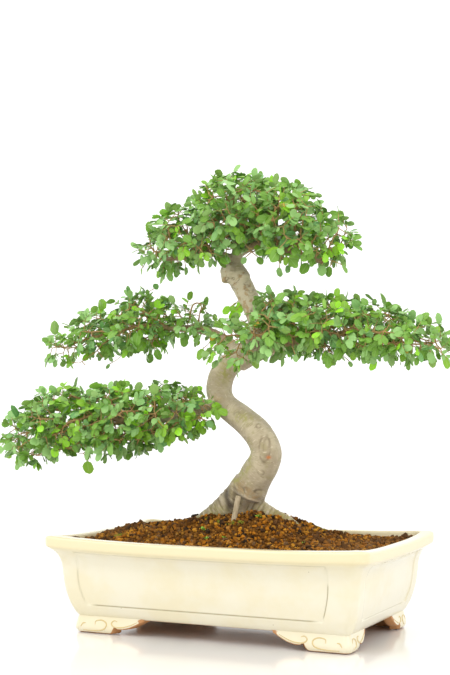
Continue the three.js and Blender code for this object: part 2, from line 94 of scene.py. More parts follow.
# Wood: x, y, z and radius along each limb
TRUNK = [(3, 3, 82, 13), (1, 3, 96, 14), (2, 2, 108, 13.4), (6.5, -1, 121, 15), (15, -4, 138, 15.2),
         (23, -5, 150, 14.4), (25.5, -6, 162, 13.8), (17.5, -5, 176, 13.2), (0, -2, 190, 12),
         (-18, 1, 202, 11.4), (-25, 3, 214, 11.8), (-23.5, 4, 227, 11.8), (-15, 3, 238, 11),
         (0, 0, 247, 10.2), (14, -3, 257, 9.6), (19, -4, 269, 9.2), (14, -3, 284, 8.8),
         (7, -1, 298, 9.2), (0, 0, 310, 9.8), (-6, 1, 322, 10), (-8, 1, 331, 6.5)]
ROOTS = [
    [(6, -4, 134, 11), (-6, -5, 117, 12), (-22, -6, 105, 9.5), (-37, -7, 97, 6.5), (-51, -8, 88, 4)],
    [(8, 2, 112, 9), (24, 9, 102, 7.6), (38, 14, 96, 6), (50, 17, 89, 3.5)],
    [(2, 6, 120, 10), (-6, 22, 106, 7.5), (-13, 36, 94, 4.5)],
]
LIMBS = {
    "low_left_foliage": [[(-18, 1, 205, 8), (-36, -12, 199, 6), (-72, -25, 190, 4.5)]],
    "mid_left_foliage": [[(-4, 3, 249, 7), (-27, 12, 264, 4.8), (-50, 15, 272, 4), (-80, 18, 274, 3.2)]],
    "right_foliage": [
        [(-2, 0, 240, 8), (20, -5, 249, 7), (50, -8, 258, 5.4), (84, -8, 264, 4)],
        [(10, -6, 262, 5), (23, -30, 265, 3.2)],
        [(13, -2, 280, 5.5), (22, 24, 276, 3.6)],
    ],
    "crown_foliage": [
        [(-6, 1, 322, 6), (-6, 1, 340, 4.8), (-6, 1, 354, 4), (-1, 0, 372, 3), (2, 0, 386, 2.2)],
        [(-6, 1, 333, 5), (-28, -5, 341, 3.4), (-54, -9, 338, 2.6), (-76, -8, 337, 1.9)],
        [(-6, 1, 340, 4.6), (20, -5, 347, 3.6), (50, -7, 339, 2.8), (80, -6, 328, 1.9)],
    ],
}
PEG_LOW, PEG_HIGH = (-0.9, -25.5, 86.0), (7.6, -25, 121.0)
# Swellings on the wood: centre and half sizes
PRUNING_SCAR = ((-11, -3, 322.5), (9.5, 9.5, 10.2))
CLEFT = [(-11, -13, 124.4), (-7.5, -15, 116.5), (-4.6, -15, 106.9), (-4, -14, 99)]
KNOTS = [((1.0, -11.5, 193), (3.4, 3, 3)), ((21.5, -12.6, 183.6), (3.6, 3, 3.2)),
         ((9, -13.6, 128), (3.5, 3, 3.5)), ((18, -7.6, 124.5), (6.5, 6.5, 7)), ((9, -7.5, 125), (9, 9.5, 7)),
         ((-19.5, -7, 206.5), (6, 5, 5)), ((5, -7.5, 300), (3, 3, 3.5)), ((-2, -5, 310), (6, 5.5, 4)),
         ((-14, -5, 316), (4, 4, 3.5)), ((4, -4, 318), (4.5, 5, 4))]
BARK_CELL = 0.9
# Healed rings seen on the front of the bark: centre x and z, half sizes and strength
BARK_RINGS = [(29.5, 163, 4.6, 11.5, 0.8), (31, 165, 2.2, 8, 0.45), (21.4, 124.8, 2.8, 1.7, 1.0),
              (25.8, 142, 2.6, 2.2, 0.6), (22.5, 183.6, 2.1, 1.8, 0.7), (1, 193.2, 3.2, 2.4, 0.6),
              (10.8, 127.2, 1.5, 1.2, 0.7)]
# The crease where the trunk's foot folds over: heights of its edge from left to right
FOLD_EDGE = [(-2.3, 133.3), (-0.6, 128.6), (2.8, 123.4), (7.2, 120.2), (10.8, 117.6), (18.5, 115), (24, 113)]
FOLD_SLOPES = [(-2.3, 2.4), (2.8, 1.6), (10.8, 0.8), (24, 0.3)]
# Greenish-yellow growth down the trunk's hollow side, and brown patches: centre and sizes
LICHEN = [((14.4, -12, 162), (4, 7, 9)), ((13.5, -13, 150), (4.5, 7, 7)), ((9, -14, 144), (6, 7, 4)),
          ((3, -13, 138.5), (6, 7, 4.5)), ((-2, -11, 134), (5, 7, 4)), ((-14, -8, 232), (6, 8, 12)),
          ((7, -12, 190), (9, 8, 4))]
BROWN_PATCHES = [((5, -15, 131), (5, 6, 5)), ((10.5, -16, 126.5), (6, 6, 4)),
                 ((-20.6, -9.3, 207.4), (5, 5, 3.5)), ((18, -15, 120), (7, 6, 4)),
                 ((13, -12, 109), (9, 6, 6)), ((32, 6, 100), (16, 14, 7)), ((-42, -8, 93), (8, 10, 5))]
ORANGE_SPOT = ((32.9, -15.6, 155.7), (1.6, 4, 1.3))
EYE_KNOT = ((21.4, -13.2, 124.8), (1.8, 4, 0.9))

# Envelope of each pad: lobes of centre x, y, z and half sizes x, y, z
PADS = {
    "low_left_foliage": [
        (-197, -48, 170, 26, 36, 29), (-163, -42, 186, 40, 50, 35), (-111, -36, 186, 44, 54, 37),
        (-65, -28, 193, 38, 44, 30), (-35, -26, 194, 23, 28, 19)],
    "mid_left_foliage": [
        (-202, 20, 256, 20, 28, 18), (-165, 22, 270, 30, 36, 25), (-116, 22, 279, 35, 46, 32),
        (-64, 18, 279, 22, 30, 20), (-40, 10, 268, 18, 17, 13)],
    "right_foliage": [
        (49, -8, 272, 33, 44, 31), (90, -8, 269, 35, 50, 31), (132, -8, 265, 35, 48, 27),
        (168, -8, 256, 28, 40, 21), (188, -8, 248, 15, 26, 15), (40, -40, 264, 25, 24, 26),
        (11, -37, 255, 31, 20, 26), (18, 46, 274, 36, 30, 31), (44, -22, 287, 27, 24, 17),
        (28, -33, 262, 17, 14, 17)],
    "crown_foliage": [
        (-78, -4, 344, 27, 36, 23), (-48, -14, 361, 32, 44, 28), (4, -28, 377, 39, 42, 34),
        (6, 30, 379, 41, 42, 34), (50, -12, 367, 36, 46, 33), (85, 0, 350, 24, 38, 26),
        (-17, -34, 341, 22, 24, 16), (22, -20, 348, 22, 26, 17), (62, -18, 341, 34, 34, 16),
        (-36, -30, 346, 22, 20, 16), (0, -33, 349, 20, 18, 14)],
}
# Single leaves and bare twig ends seen below and beside the pads: place, leaf length and tone
SEEN_LEAVES = {
    "low_left_foliage": [(-139.7, -40, 150, 13, 0.86), (-169, -45, 156, 9, 0.5), (-209.9, -45, 146, 8, 0.4),
                         (-21.4, -30, 188, 8, 0.2), (-222, -45, 156, 8, 0.85)],
    "mid_left_foliage": [(-42.9, 6, 254, 12, 0.82), (-93.4, 8, 254, 11, 0.6), (-155, 14, 247, 0, 0),
                         (-175, 15, 240, 0, 0), (-149, 17, 241, 6, 0.3), (-132, 17, 249, 0, 0),
                         (-50, 12, 297, 0, 0), (-48, 12, 291, 0, 0), (-125.5, 13, 309, 7, 0.2),
                         (-98.3, 13, 312, 8, 0.2), (-190, 15, 243, 9, 0.86)],
    "right_foliage": [(92.4, -20, 244, 11, 0.86), (65.7, -35, 246, 7, 0.4), (129.8, -20, 245, 9, 0.3),
                      (141.6, -15, 247, 8, 0.4), (190.5, -5, 243, 11, 0.86), (36, -20, 300, 9, 0.3),
                      (58, -16, 300, 8, 0.7), (110, -20, 240, 6, 0.5)],
    "crown_foliage": [(45, -20, 324, 10, 0.3), (54, -20, 325, 8, 0.2), (70.1, -15, 327, 12, 0.6),
                      (81.4, -10, 325, 11, 0.3), (88.1, -8, 324, 10, 0.7), (99.3, -8, 325, 9, 0.6),
                      (-101.6, -5, 330, 7, 0.7), (-67.2, -12, 331, 12, 0.62), (-52, -12, 329, 8, 0.5),
                      (24, -20, 334, 8, 0.6), (13, -22, 334, 7, 0.4)],
}
# How far the shoots' places stay inside a lobe: sideways, at its top and at its bottom
SHOOT_ROOM = (7.0, 5.0, 8.5)
SHOOT_CORE = 0.3
# Tries for a shoot's place, for every cubic millimetre of a lobe's half sizes
SHOOT_TRIES = 0.02
SHOOT_SPACING = 8.0
SHOOT_REACH = 6.5
SHOOT_LEAVES = (4, 6)
LEAF_LENGTHS = (4.8, 8.6)
BIG_LEAVES = (1.2, 1.45)
YOUNG_PATCH = 24.0
BRANCH_STEP = 4.5
GROWTH_STEPS = 160
SHOOT_CATCH = 8.5
TWIG_TIP_RADIUS = 0.3
TWIG_SIDES = 5
PIPE_POWER = 2.35

# Leaf shapes: name, width, fold, curl and twist, for a leaf of length 1
LEAF_SHAPES = [("leaf_broad", 0.68, 0.16, 0.10, 0.05), ("leaf_narrow", 0.58, 0.22, 0.16, -0.2),
               ("leaf_round", 0.76, 0.12, 0.06, 0.2)]
PAD_SEED = 40
# Bare curled twigs that stand out of a pad
CURLED_TWIGS = {
    "mid_left_foliage": [[(-64, 15, 278), (-60.5, 14, 283.2), (-59.6, 14, 290), (-57.4, 14, 295.3),
                          (-53.5, 14, 297), (-50, 14, 296.1), (-48.6, 14, 293.6), (-49, 14, 291.4)]],
}
# How much each pad's leaves lean to yellow-green, and the share of bright young shoots
PAD_TONES = {"low_left_foliage": (0.02, 0.13), "mid_left_foliage": (0.02, 0.22),
             "right_foliage": (0.10, 0.04), "crown_foliage": (0.08, 0.04)}

# Shoots straight from the upper trunk: start inside the bark, tip and leaf length
STRAY_SHOOTS = [((6, -4, 299), (-8, -9, 291), 8.5), ((6, -4, 297), (-2, -10, 287), 8)]
STRAY_SEED = 77

# Soil
# Layers of granules: name, least spacing, size, seed and finish
CRUMB_LAYERS = [("clay_crumbs", 2.7, 1.75, 21, "clay"), ("dark_grit", 5.6, 1.95, 22, "grit"),
                ("dark_lumps", 17.0, 3.1, 23, "grit")]
CRUMB_DENSITY = 400000.0
# Granule shapes: name, seed and flatness
CRUMB_SHAPES = [("crumb_a", 1, 0.9), ("crumb_b", 2, 0.7), ("crumb_c", 3, 1.1)]
CLAY_TONES = [(0.48, 0.18, 0.016), (0.33, 0.12, 0.013), (0.60, 0.28, 0.03), (0.22, 0.09, 0.015),
              (0.44, 0.20, 0.04), (0.13, 0.055, 0.011)]
GRIT_TONES = [(0.06, 0.03, 0.013), (0.12, 0.06, 0.024), (0.035, 0.022, 0.013), (0.20, 0.11, 0.05)]
# Cushions of moss: centre x and y, and size
MOSS_SPOTS = [(5, -33, 4), (12, -30, 3), (-9, -30, 4), (25, -14, 3), (-24, -21, 4), (-100, -50, 7),
              (-20, 30, 7), (60, 40, 6)]
# Seedlings in the soil: x, y and leaf length
WEEDS = [(-7.7, -60, 2.6), (18, -80, 3.4), (7.2, -55, 1.8), (-16, -45, 3.2), (75.7, -40, 2), (24, -19, 3),
         (4, -33, 1.8), (-30, 45, 3), (60, 30, 2.6)]
WEED_SEED = 91
MOSS_SEED = 92


def metres(points):
    """Drawing millimetres as metres in the frame."""
    return np.asarray(points, float) * MM + MIDDLE


def smooth_path(points, per_span):
    """A smooth curve through the points, of any number of columns."""
    points = np.asarray(points, float)
    padded = np.vstack([2 * points[0] - points[1], points, 2 * points[-1] - points[-2]])
    share = np.arange(per_span)[:, None] / per_span
    spans = []
    for i in range(len(points) - 1):
        before, start, end, after = padded[i:i + 4]
        spans.append(0.5 * (2 * start + (end - before) * share
                            + (2 * before - 5 * start + 4 * end - after) * share ** 2
                            + (3 * start - before - 3 * end + after) * share ** 3))
    return np.vstack([*spans, points[-1:]])


def smooth_step(low, high, value):
    share = np.clip((np.asarray(value, float) - low) / (high - low), 0, 1)
    return share * share * (3 - 2 * share)


def unit(vectors):
    vectors = np.asarray(vectors, float)
    return vectors / np.maximum(np.linalg.norm(vectors, axis=-1, keepdims=True), 1e-9)


def rough(points, size, seed=0.0):
    """Smooth noise between about -1 and 1 at each point, with bumps of the given size."""
    return np.array([noise.noise(Vector(point) / size + Vector((seed, 0, 0))) for point in points])


def add_object(name, data):
    added = bpy.data.objects.new(name, data)
    bpy.context.scene.collection.objects.link(added)
    return added


def add_mesh(name, points, faces, edges=(), smooth=True):
    """A mesh object from points in metres."""
    mesh = bpy.data.meshes.new(name)
    mesh.from_pydata(np.asarray(points, float).tolist(), list(edges), faces)
    mesh.update()
    if smooth:
        mesh.shade_smooth()
    return add_object(name, mesh)


def new_piece(name, points, faces, edges=(), smooth=True):
    """A mesh object from points in drawing millimetres."""
    return add_mesh(name, metres(points), faces, edges, smooth)


def set_material(piece, material):
    piece.data.materials.clear()
    piece.data.materials.append(material)


def keep_result(piece):
    """The piece's modifiers, applied for good."""
    graph = bpy.context.evaluated_depsgraph_get()
    mesh = bpy.data.meshes.new_from_object(
        piece.evaluated_get(graph), preserve_all_data_layers=True, depsgraph=graph)
    piece.modifiers.clear()
    piece.data = mesh
    return piece


def set_values(piece, label, values, kind="FLOAT"):
    """One value for each point of the piece, as a named attribute."""
    attribute = piece.data.attributes.new(label, kind, "POINT")
    field = "vector" if kind == "FLOAT_VECTOR" else "value"
    attribute.data.foreach_set(field, np.asarray(values).ravel())


def set_tones(piece, **tones):
    """Named values of a piece: one for each of its points, or one number for them all."""
    for label, values in tones.items():
        set_values(piece, label, np.broadcast_to(values, len(piece.data.vertices)))


def drawing_points(piece):
    """The piece's points in drawing millimetres."""
    found = np.zeros(len(piece.data.vertices) * 3)
    piece.data.vertices.foreach_get("co", found)
    return (found.reshape(-1, 3) - MIDDLE) / MM


def drop(*pieces):
    for piece in pieces:
        bpy.data.objects.remove(piece)


def tube_faces(rings, sides, first=0):
    """Faces of a closed tube of rings, with a fan at each end round the last two points."""
    faces = []
    for ring in range(rings - 1):
        for side in range(sides):
            a = first + ring * sides + side
            b = first + ring * sides + (side + 1) % sides
            faces.append((a, b, b + sides, a + sides))
    start, end = first + rings * sides, first + rings * sides + 1
    for side in range(sides):
        after = (side + 1) % sides
        last = first + (rings - 1) * sides
        faces.append((start, first + after, first + side))
        faces.append((end, last + side, last + after))
    return faces


def tube(path, radii, sides, first=0):
    """Points and faces of a closed tube with rounded ends along a path."""
    path = np.asarray(path, float)
    radii = np.asarray(radii, float)
    ahead = unit(np.gradient(path, axis=0))
    aside = np.cross(ahead[0], (0.1, 0.2, 1.0) if abs(ahead[0][2]) < 0.9 else (0.0, 1.0, 0.1))
    rings = []
    for centre, forward, radius in zip(path, ahead, radii):
        aside = unit(aside - forward * aside.dot(forward))
        across = np.cross(forward, aside)
        turns = 2 * math.pi * np.arange(sides)[:, None] / sides
        rings.append(centre + radius * (np.cos(turns) * aside + np.sin(turns) * across))
    ends = [path[0] - 0.35 * radii[0] * ahead[0], path[-1] + 0.35 * radii[-1] * ahead[-1]]
    return np.vstack([*rings, ends]), tube_faces(len(path), sides, first)


# Shader helpers

def new_node(tree, kind, inputs=None, **settings):
    """A node with its settings; each input, by name or number, takes a value or another output."""
    node = tree.nodes.new(kind)
    for label, value in settings.items():
        setattr(node, label, value)
    for label, value in (inputs or {}).items():
        if isinstance(value, bpy.types.NodeSocket):
            tree.links.new(value, node.inputs[label])
        else:
            node.inputs[label].default_value = value
    return node


def start_mask(name, numbers):
    """A shader node group that makes a mask from a place and the named numbers."""
    group = bpy.data.node_groups.new(name, "ShaderNodeTree")
    group.interface.new_socket("Place", in_out="INPUT", socket_type="NodeSocketVector")
    for label in numbers:
        group.interface.new_socket(label, in_out="INPUT", socket_type="NodeSocketFloat")
    group.interface.new_socket("Mask", in_out="OUTPUT", socket_type="NodeSocketFloat")
    return group, group.nodes.new("NodeGroupInput").outputs, group.nodes.new("NodeGroupOutput")


def per_metre(group, size):
    """A texture's scale, from the size of its cells in millimetres."""
    return new_node(group, "ShaderNodeMath", {0: 1 / MM, 1: size}, operation="DIVIDE").outputs[0]


def make_mottle_group():
    """Soft uneven patches: a mask from 0 to 1, for tone that changes over a surface."""
    group, start, end = start_mask("mottle", ("Size", "Low", "High"))
    cloud = new_node(group, "ShaderNodeTexNoise", {
        "Vector": start["Place"], "Scale": per_metre(group, start["Size"]), "Detail": 4.0, "Roughness": 0.6})
    spread = new_node(group, "ShaderNodeMapRange", {
        "Value": cloud.outputs["Fac"], "From Min": start["Low"], "From Max": start["High"]},
        interpolation_type="SMOOTHSTEP")
    group.links.new(spread.outputs["Result"], end.inputs["Mask"])
    return group


def make_speck_group():
    """Small scattered dots: a mask that is 1 inside each dot."""
    group, start, end = start_mask("specks", ("Spacing", "Radius", "Share"))
    cells = new_node(group, "ShaderNodeTexVoronoi", {
        "Vector": start["Place"], "Scale": per_metre(group, start["Spacing"])}, feature="F1")
    inside = new_node(group, "ShaderNodeMath", {0: cells.outputs["Distance"], 1: start["Radius"]},
                      operation="LESS_THAN")
    channel = new_node(group, "ShaderNodeSeparateColor", {"Color": cells.outputs["Color"]})
    chosen = new_node(group, "ShaderNodeMath", {0: channel.outputs["Red"], 1: start["Share"]},
                      operation="LESS_THAN")
    both = new_node(group, "ShaderNodeMath", {0: inside.outputs[0], 1: chosen.outputs[0]},
                    operation="MULTIPLY")
    group.links.new(both.outputs[0], end.inputs["Mask"])
    return group


MOTTLE = make_mottle_group()
SPECKS = make_speck_group()


class Finish:
    """A material with its Principled shader, and short ways to lay one tone over another."""

    def __init__(self, name, base, roughness, **settings):
        self.material = bpy.data.materials.new(name)
        self.material.use_nodes = True
        self.tree = self.material.node_tree
        self.shader = self.tree.nodes["Principled BSDF"]
        self.shader.inputs["Roughness"].default_value = roughness
        for label, value in settings.items():
            self.shader.inputs[label.replace("_", " ")].default_value = value
        self.place = new_node(self.tree, "ShaderNodeTexCoord").outputs["Object"]
        self.color = new_node(self.tree, "ShaderNodeRGB").outputs[0]
        self.color.default_value = (*base, 1)
        self.feed("Base Color", self.color)

    def feed(self, label, source):
        self.tree.links.new(source, self.shader.inputs[label])

    def paint(self, tone, mask):
        """Lays a tone over what is there, where the mask says."""
        inputs = {"Factor": mask, "A": self.color, "B": (*tone, 1)}
        self.color = new_node(self.tree, "ShaderNodeMix", inputs, data_type="RGBA").outputs["Result"]
        self.feed("Base Color", self.color)

    def tint(self, tone, label, strength=1.0):
        """Lays a tone where a value of the piece says; the strength is a number or a mask."""
        self.paint(tone, self.math("MULTIPLY", self.value(label), strength))

    def attribute(self, label, output):
        return new_node(self.tree, "ShaderNodeAttribute", attribute_name=label).outputs[output]

    def value(self, label):
        return self.attribute(label, "Fac")

    def group(self, group, place, **values):
        inputs = {"Place": place or self.place, **values}
        return new_node(self.tree, "ShaderNodeGroup", inputs, node_tree=group).outputs[0]

    def patches(self, size, low=0.35, high=0.65, place=None):
        """A mask of soft uneven patches, in thousandths of the place's own unit."""
        return self.group(MOTTLE, place, Size=size, Low=low, High=high)

    def specks(self, spacing, radius, share, place=None):
        """A mask of small dots in a share of the cells, spaced as the patches are sized."""
        return self.group(SPECKS, place, Spacing=spacing, Radius=radius, Share=share)

    def math(self, operation, first, second=0.0, clamp=True):
        return new_node(self.tree, "ShaderNodeMath", {0: first, 1: second}, operation=operation,
                        use_clamp=clamp).outputs[0]

    def spread(self, value, low, high, to_low=0.0, to_high=1.0):
        """The range from low to high, eased into another range."""
        inputs = {"Value": value, "From Min": low, "From Max": high, "To Min": to_low, "To Max": to_high}
        return new_node(self.tree, "ShaderNodeMapRange", inputs,
                        interpolation_type="SMOOTHSTEP").outputs["Result"]

    def split(self, place):
        return new_node(self.tree, "ShaderNodeSeparateXYZ", {0: place}).outputs

    def stretch(self, place, scale):
        """A place drawn out along some axes, so that the patches on it run long."""
        inputs = {"Vector": place, "Scale": scale}
        return new_node(self.tree, "ShaderNodeMapping", inputs).outputs["Vector"]

    def set_roughness(self, mask, low, high):
        self.feed("Roughness", self.spread(mask, 0, 1, low, high))

    def bump(self, height, strength, distance):
        inputs = {"Height": height, "Strength": strength, "Distance": distance * MM}
        self.feed("Normal", new_node(self.tree, "ShaderNodeBump", inputs).outputs["Normal"])


def glaze_finish():
    """Cream glaze with iron specks, yellower where it pools, over orange clay."""
    glaze = Finish("cream_glaze", (0.78, 0.71, 0.51), 0.16, Coat_Weight=0.3, Coat_Roughness=0.06)
    glaze.paint((0.80, 0.75, 0.60), glaze.patches(45.0))
    glaze.tint((0.78, 0.68, 0.42), "rim_tone")
    glaze.paint((0.42, 0.35, 0.20), glaze.specks(9.0, 0.045, 0.16))
    # Dark lines: darker glaze with painted shade in the panel grooves, and a painted shadow line under the
    # rim
    glaze.tint((0.30, 0.25, 0.13), "line_tone")
    glaze.tint((0.60, 0.43, 0.13), "scroll_tone")
    edge = glaze.math("ADD", glaze.value("clay_tone"), glaze.math("MULTIPLY", glaze.patches(3.0), 0.35))
    bare = glaze.spread(edge, 0.55, 0.75)
    glaze.paint((0.50, 0.24, 0.09), bare)
    glaze.set_roughness(bare, 0.16, 0.85)
    glaze.bump(glaze.patches(14.0), 0.12, 0.25)
    return glaze.material


def bark_finish():
    """Smooth beige-grey bark with fine cross marks, greenish edges and a cracked upper trunk."""
    bark = Finish("smooth_bark", (0.43, 0.355, 0.235), 0.78, Specular_IOR_Level=0.3, Sheen_Weight=0.35,
                  Sheen_Roughness=0.5)
    # The bark's own place is in millimetres, so 1000 stands for 1 mm on the rings
    rings = bark.stretch(bark.attribute("bark_place", "Vector"), (0.16, 0.16, 1.0))
    bark.paint((0.54, 0.46, 0.31), bark.patches(16.0, 0.4, 0.62))
    bark.paint((0.40, 0.34, 0.19), bark.patches(9.0, 0.5, 0.7))
    bark.paint((0.37, 0.31, 0.18), bark.patches(1500.0, 0.54, 0.72, rings))
    bark.paint((0.64, 0.56, 0.40), bark.patches(900.0, 0.56, 0.72, rings))
    bark.paint((0.33, 0.26, 0.15), bark.specks(1500.0, 0.2, 0.30, rings))
    bark.paint((0.68, 0.59, 0.41), bark.specks(1900.0, 0.2, 0.14, rings))
    bark.tint((0.68, 0.60, 0.42), "age_tone", 0.65)
    bark.tint((0.47, 0.33, 0.17), "age_tone", bark.patches(6.0, 0.52, 0.64))
    bark.tint((0.27, 0.22, 0.11), "band_tone", 0.75)
    bark.tint((0.24, 0.19, 0.10), "root_tone", bark.patches(2300.0, 0.49, 0.57, rings))
    bark.tint((0.42, 0.29, 0.14), "brown_tone", bark.patches(3.5, 0.35, 0.6))
    # Dark cracks and healed rings, and painted shade along the fold's crease
    bark.tint((0.21, 0.16, 0.09), "crack_tone")
    bark.tint((0.66, 0.57, 0.41), "lip_tone", 0.8)
    bark.tint((0.33, 0.21, 0.11), "limb_tone", 0.85)
    bark.tint((0.36, 0.34, 0.09), "moss_tone", bark.patches(3.5, 0.38, 0.6))
    # Painted shade: near black in the cleft and in the recess under the trunk's fold
    bark.tint((0.10, 0.075, 0.045), "hollow_tone")
    bark.tint((0.62, 0.20, 0.05), "orange_tone")
    bark.bump(bark.patches(700.0, place=rings), 0.5, 0.5)
    return bark.material


def twig_finish():
    """Brown young twigs that turn grey-brown where they are thick."""
    twig = Finish("twig_bark", (0.46, 0.29, 0.12), 0.7, Specular_IOR_Level=0.2)
    twig.paint((0.38, 0.27, 0.14), twig.spread(twig.value("twig_radius"), 0.0008, 0.0026))
    twig.paint((0.24, 0.16, 0.07), twig.patches(3.0, 0.5, 0.7))
    twig.bump(twig.patches(1.2), 0.4, 0.2)
    return twig.material


def leaf_finish():
    """Satin green leaves: grey-green old ones, bright young ones and a few that turn yellow."""
    leaf = Finish("elm_leaf", (0.12, 0.32, 0.085), 0.45, Specular_IOR_Level=0.35)
    tone = leaf.value("leaf_tone")
    for color, low, high in [((0.29, 0.52, 0.16), 0.10, 0.35), ((0.17, 0.36, 0.04), 0.46, 0.6),
                             ((0.23, 0.46, 0.03), 0.76, 0.86), ((0.30, 0.68, 0.02), 0.88, 0.94),
                             ((0.55, 0.36, 0.04), 0.985, 0.990)]:
        leaf.paint(color, leaf.spread(tone, low, high))
    place = leaf.split(leaf.attribute("leaf_place", "Vector"))
    edge = leaf.math("ABSOLUTE", place["X"], clamp=False)
    under = leaf.math("LESS_THAN", place["Z"], -0.001)
    leaf.paint((0.30, 0.45, 0.14), leaf.math("MULTIPLY", under, 0.5))
    rib = leaf.spread(edge, 0.13, 0.03)
    vein_place = leaf.math("SUBTRACT", place["Y"], leaf.math("MULTIPLY", edge, 0.16))
    wave = leaf.math("SINE", leaf.math("MULTIPLY", vein_place, 50.0, clamp=False), clamp=False)
    veins = leaf.math("MULTIPLY", leaf.spread(wave, 0.75, 1.0), 0.35)
    leaf.paint((0.34, 0.52, 0.18), leaf.math("MULTIPLY", leaf.math("MAXIMUM", rib, veins), 0.4))
    leaf.set_roughness(leaf.patches(4.0), 0.34, 0.52)
    leaf.bump(wave, 0.25, 0.12)
    return leaf.material


def crumb_finish(name, tones):
    """Granules of one kind: each has its own tone, darker in damp patches and near the pot's ends."""
    crumb = Finish(name, tones[0], 0.9, Specular_IOR_Level=0.08)
    tone = crumb.value("crumb_tone")
    for index, color in enumerate(tones[1:], 1):
        edge = index / len(tones)
        crumb.paint(color, crumb.spread(tone, edge - 0.04, edge + 0.04))
    crumb.paint(tuple(0.45 * part for part in tones[0]), crumb.patches(1.4, 0.5, 0.7))
    crumb.paint((0.12, 0.052, 0.016), crumb.math("MULTIPLY", crumb.patches(24.0, 0.5, 0.6), 0.6))
    from_middle = crumb.math("ABSOLUTE", crumb.split(crumb.place)["X"])
    crumb.paint((0.24, 0.12, 0.045), crumb.spread(from_middle, 0.07, 0.13, 0.0, 0.4))
    crumb.bump(crumb.patches(0.8), 0.6, 0.4)
    return crumb.material


def peg_finish():
    """Bare sawn wood, with its grain along the peg."""
    peg = Finish("peg_wood", (0.42, 0.33, 0.20), 0.8)
    grain = peg.stretch(peg.place, (1.0, 1.0, 0.12))
    peg.paint((0.55, 0.46, 0.31), peg.patches(1.6, place=grain))
    peg.paint((0.25, 0.17, 0.10), peg.patches(6.0, 0.6, 0.8))
    peg.bump(peg.patches(1.0, place=grain), 0.5, 0.3)
    return peg.material


# Simple finishes: base, roughness, second tone, its patches, relief (size, strength, depth), gloss
PLAIN_FINISHES = {
    "soil_bed": ((0.11, 0.045, 0.010), 0.95, (0.27, 0.11, 0.017), (3.0, 0.42, 0.6), (2.0, 1.0, 1.2), 0.05),
    "moss_green": ((0.13, 0.15, 0.02), 0.9, (0.30, 0.27, 0.03), (2.0,), (1.0, 0.5, 0.3), 0.1),
    "drain_mesh_plastic": ((0.02, 0.022, 0.02), 0.55, (0.05, 0.05, 0.045), (5.0,), (0.8, 0.2, 0.1), 0.5),
    "pale_floor": ((0.83, 0.82, 0.80), 0.12, (0.85, 0.84, 0.82), (400.0,), None, 0.5),
}


def plain_finish(name):
    """One of the simple finishes: a second tone in soft patches, and a fine relief."""
    base, roughness, tone, patches, relief, gloss = PLAIN_FINISHES[name]
    finish = Finish(name, base, roughness, Specular_IOR_Level=gloss)
    finish.paint(tone, finish.patches(*patches))
    if relief:
        finish.bump(finish.patches(relief[0]), *relief[1:])
    return finish.material


# Geometry trees

SHAPE_LABELS = ("Shape A", "Shape B", "Shape C")


def start_tree(name, numbers=(), shapes=()):
    """A geometry tree that takes geometry, the named inputs and a material, and gives geometry."""
    tree = bpy.data.node_groups.new(name, "GeometryNodeTree")
    sockets = [("Geometry", "NodeSocketGeometry"), *numbers,
               *[(label, "NodeSocketObject") for label in shapes], ("Material", "NodeSocketMaterial")]
    for label, kind in sockets:
        tree.interface.new_socket(label, in_out="INPUT", socket_type=kind)
    tree.interface.new_socket("Geometry", in_out="OUTPUT", socket_type="NodeSocketGeometry")
    return tree, tree.nodes.new("NodeGroupInput").outputs, tree.nodes.new("NodeGroupOutput")


def end_tree(tree, source, start, end):
    """Real geometry with its material, as the last two nodes of a tree."""
    real = new_node(tree, "GeometryNodeRealizeInstances", {"Geometry": source})
    painted = new_node(tree, "GeometryNodeSetMaterial", {
        "Geometry": real.outputs["Geometry"], "Material": start["Material"]})
    tree.links.new(painted.outputs["Geometry"], end.inputs["Geometry"])
    return tree


def run_tree(piece, tree, values):
    """Runs a geometry tree on a piece and keeps the result as a plain mesh."""
    modifier = piece.modifiers.new(tree.name, "NODES")
    modifier.node_group = tree
    for item in tree.interface.items_tree:
        if item.item_type == "SOCKET" and item.in_out == "INPUT" and item.name in values:
            modifier[item.identifier] = values[item.name]
    return keep_result(piece)


def named_value(tree, label, kind="FLOAT"):
    node = new_node(tree, "GeometryNodeInputNamedAttribute", {"Name": label}, data_type=kind)
    return node.outputs["Attribute"]


def random_value(tree, low, high, seed, kind="FLOAT"):
    """A random number, whole number or vector for every point."""
    node = new_node(tree, "FunctionNodeRandomValue", {"Seed": seed}, data_type=kind)
    limits = [socket for socket in node.inputs if socket.enabled]
    limits[0].default_value, limits[1].default_value = low, high
    return next(socket for socket in node.outputs if socket.enabled)


def gather_shapes(tree, start):
    """The shapes given as object inputs, as one choice of instances."""
    shapes = new_node(tree, "GeometryNodeJoinGeometry")
    for label in SHAPE_LABELS:
        info = new_node(tree, "GeometryNodeObjectInfo", {"As Instance": True, "Object": start[label]})
        tree.links.new(info.outputs["Geometry"], shapes.inputs["Geometry"])
    return shapes.outputs["Geometry"]


def make_leaf_scatter():
    """One of three leaf shapes on every point, turned and sized by the point's own values."""
    tree, start, end = start_tree("leaf_scatter", shapes=SHAPE_LABELS)
    place = new_node(tree, "GeometryNodeInstanceOnPoints", {
        "Pick Instance": True, "Points": start["Geometry"], "Instance": gather_shapes(tree, start),
        "Instance Index": named_value(tree, "leaf_kind", "INT"),
        "Rotation": named_value(tree, "leaf_turn", "FLOAT_VECTOR"),
        "Scale": named_value(tree, "leaf_length")})
    return end_tree(tree, place.outputs["Instances"], start, end)


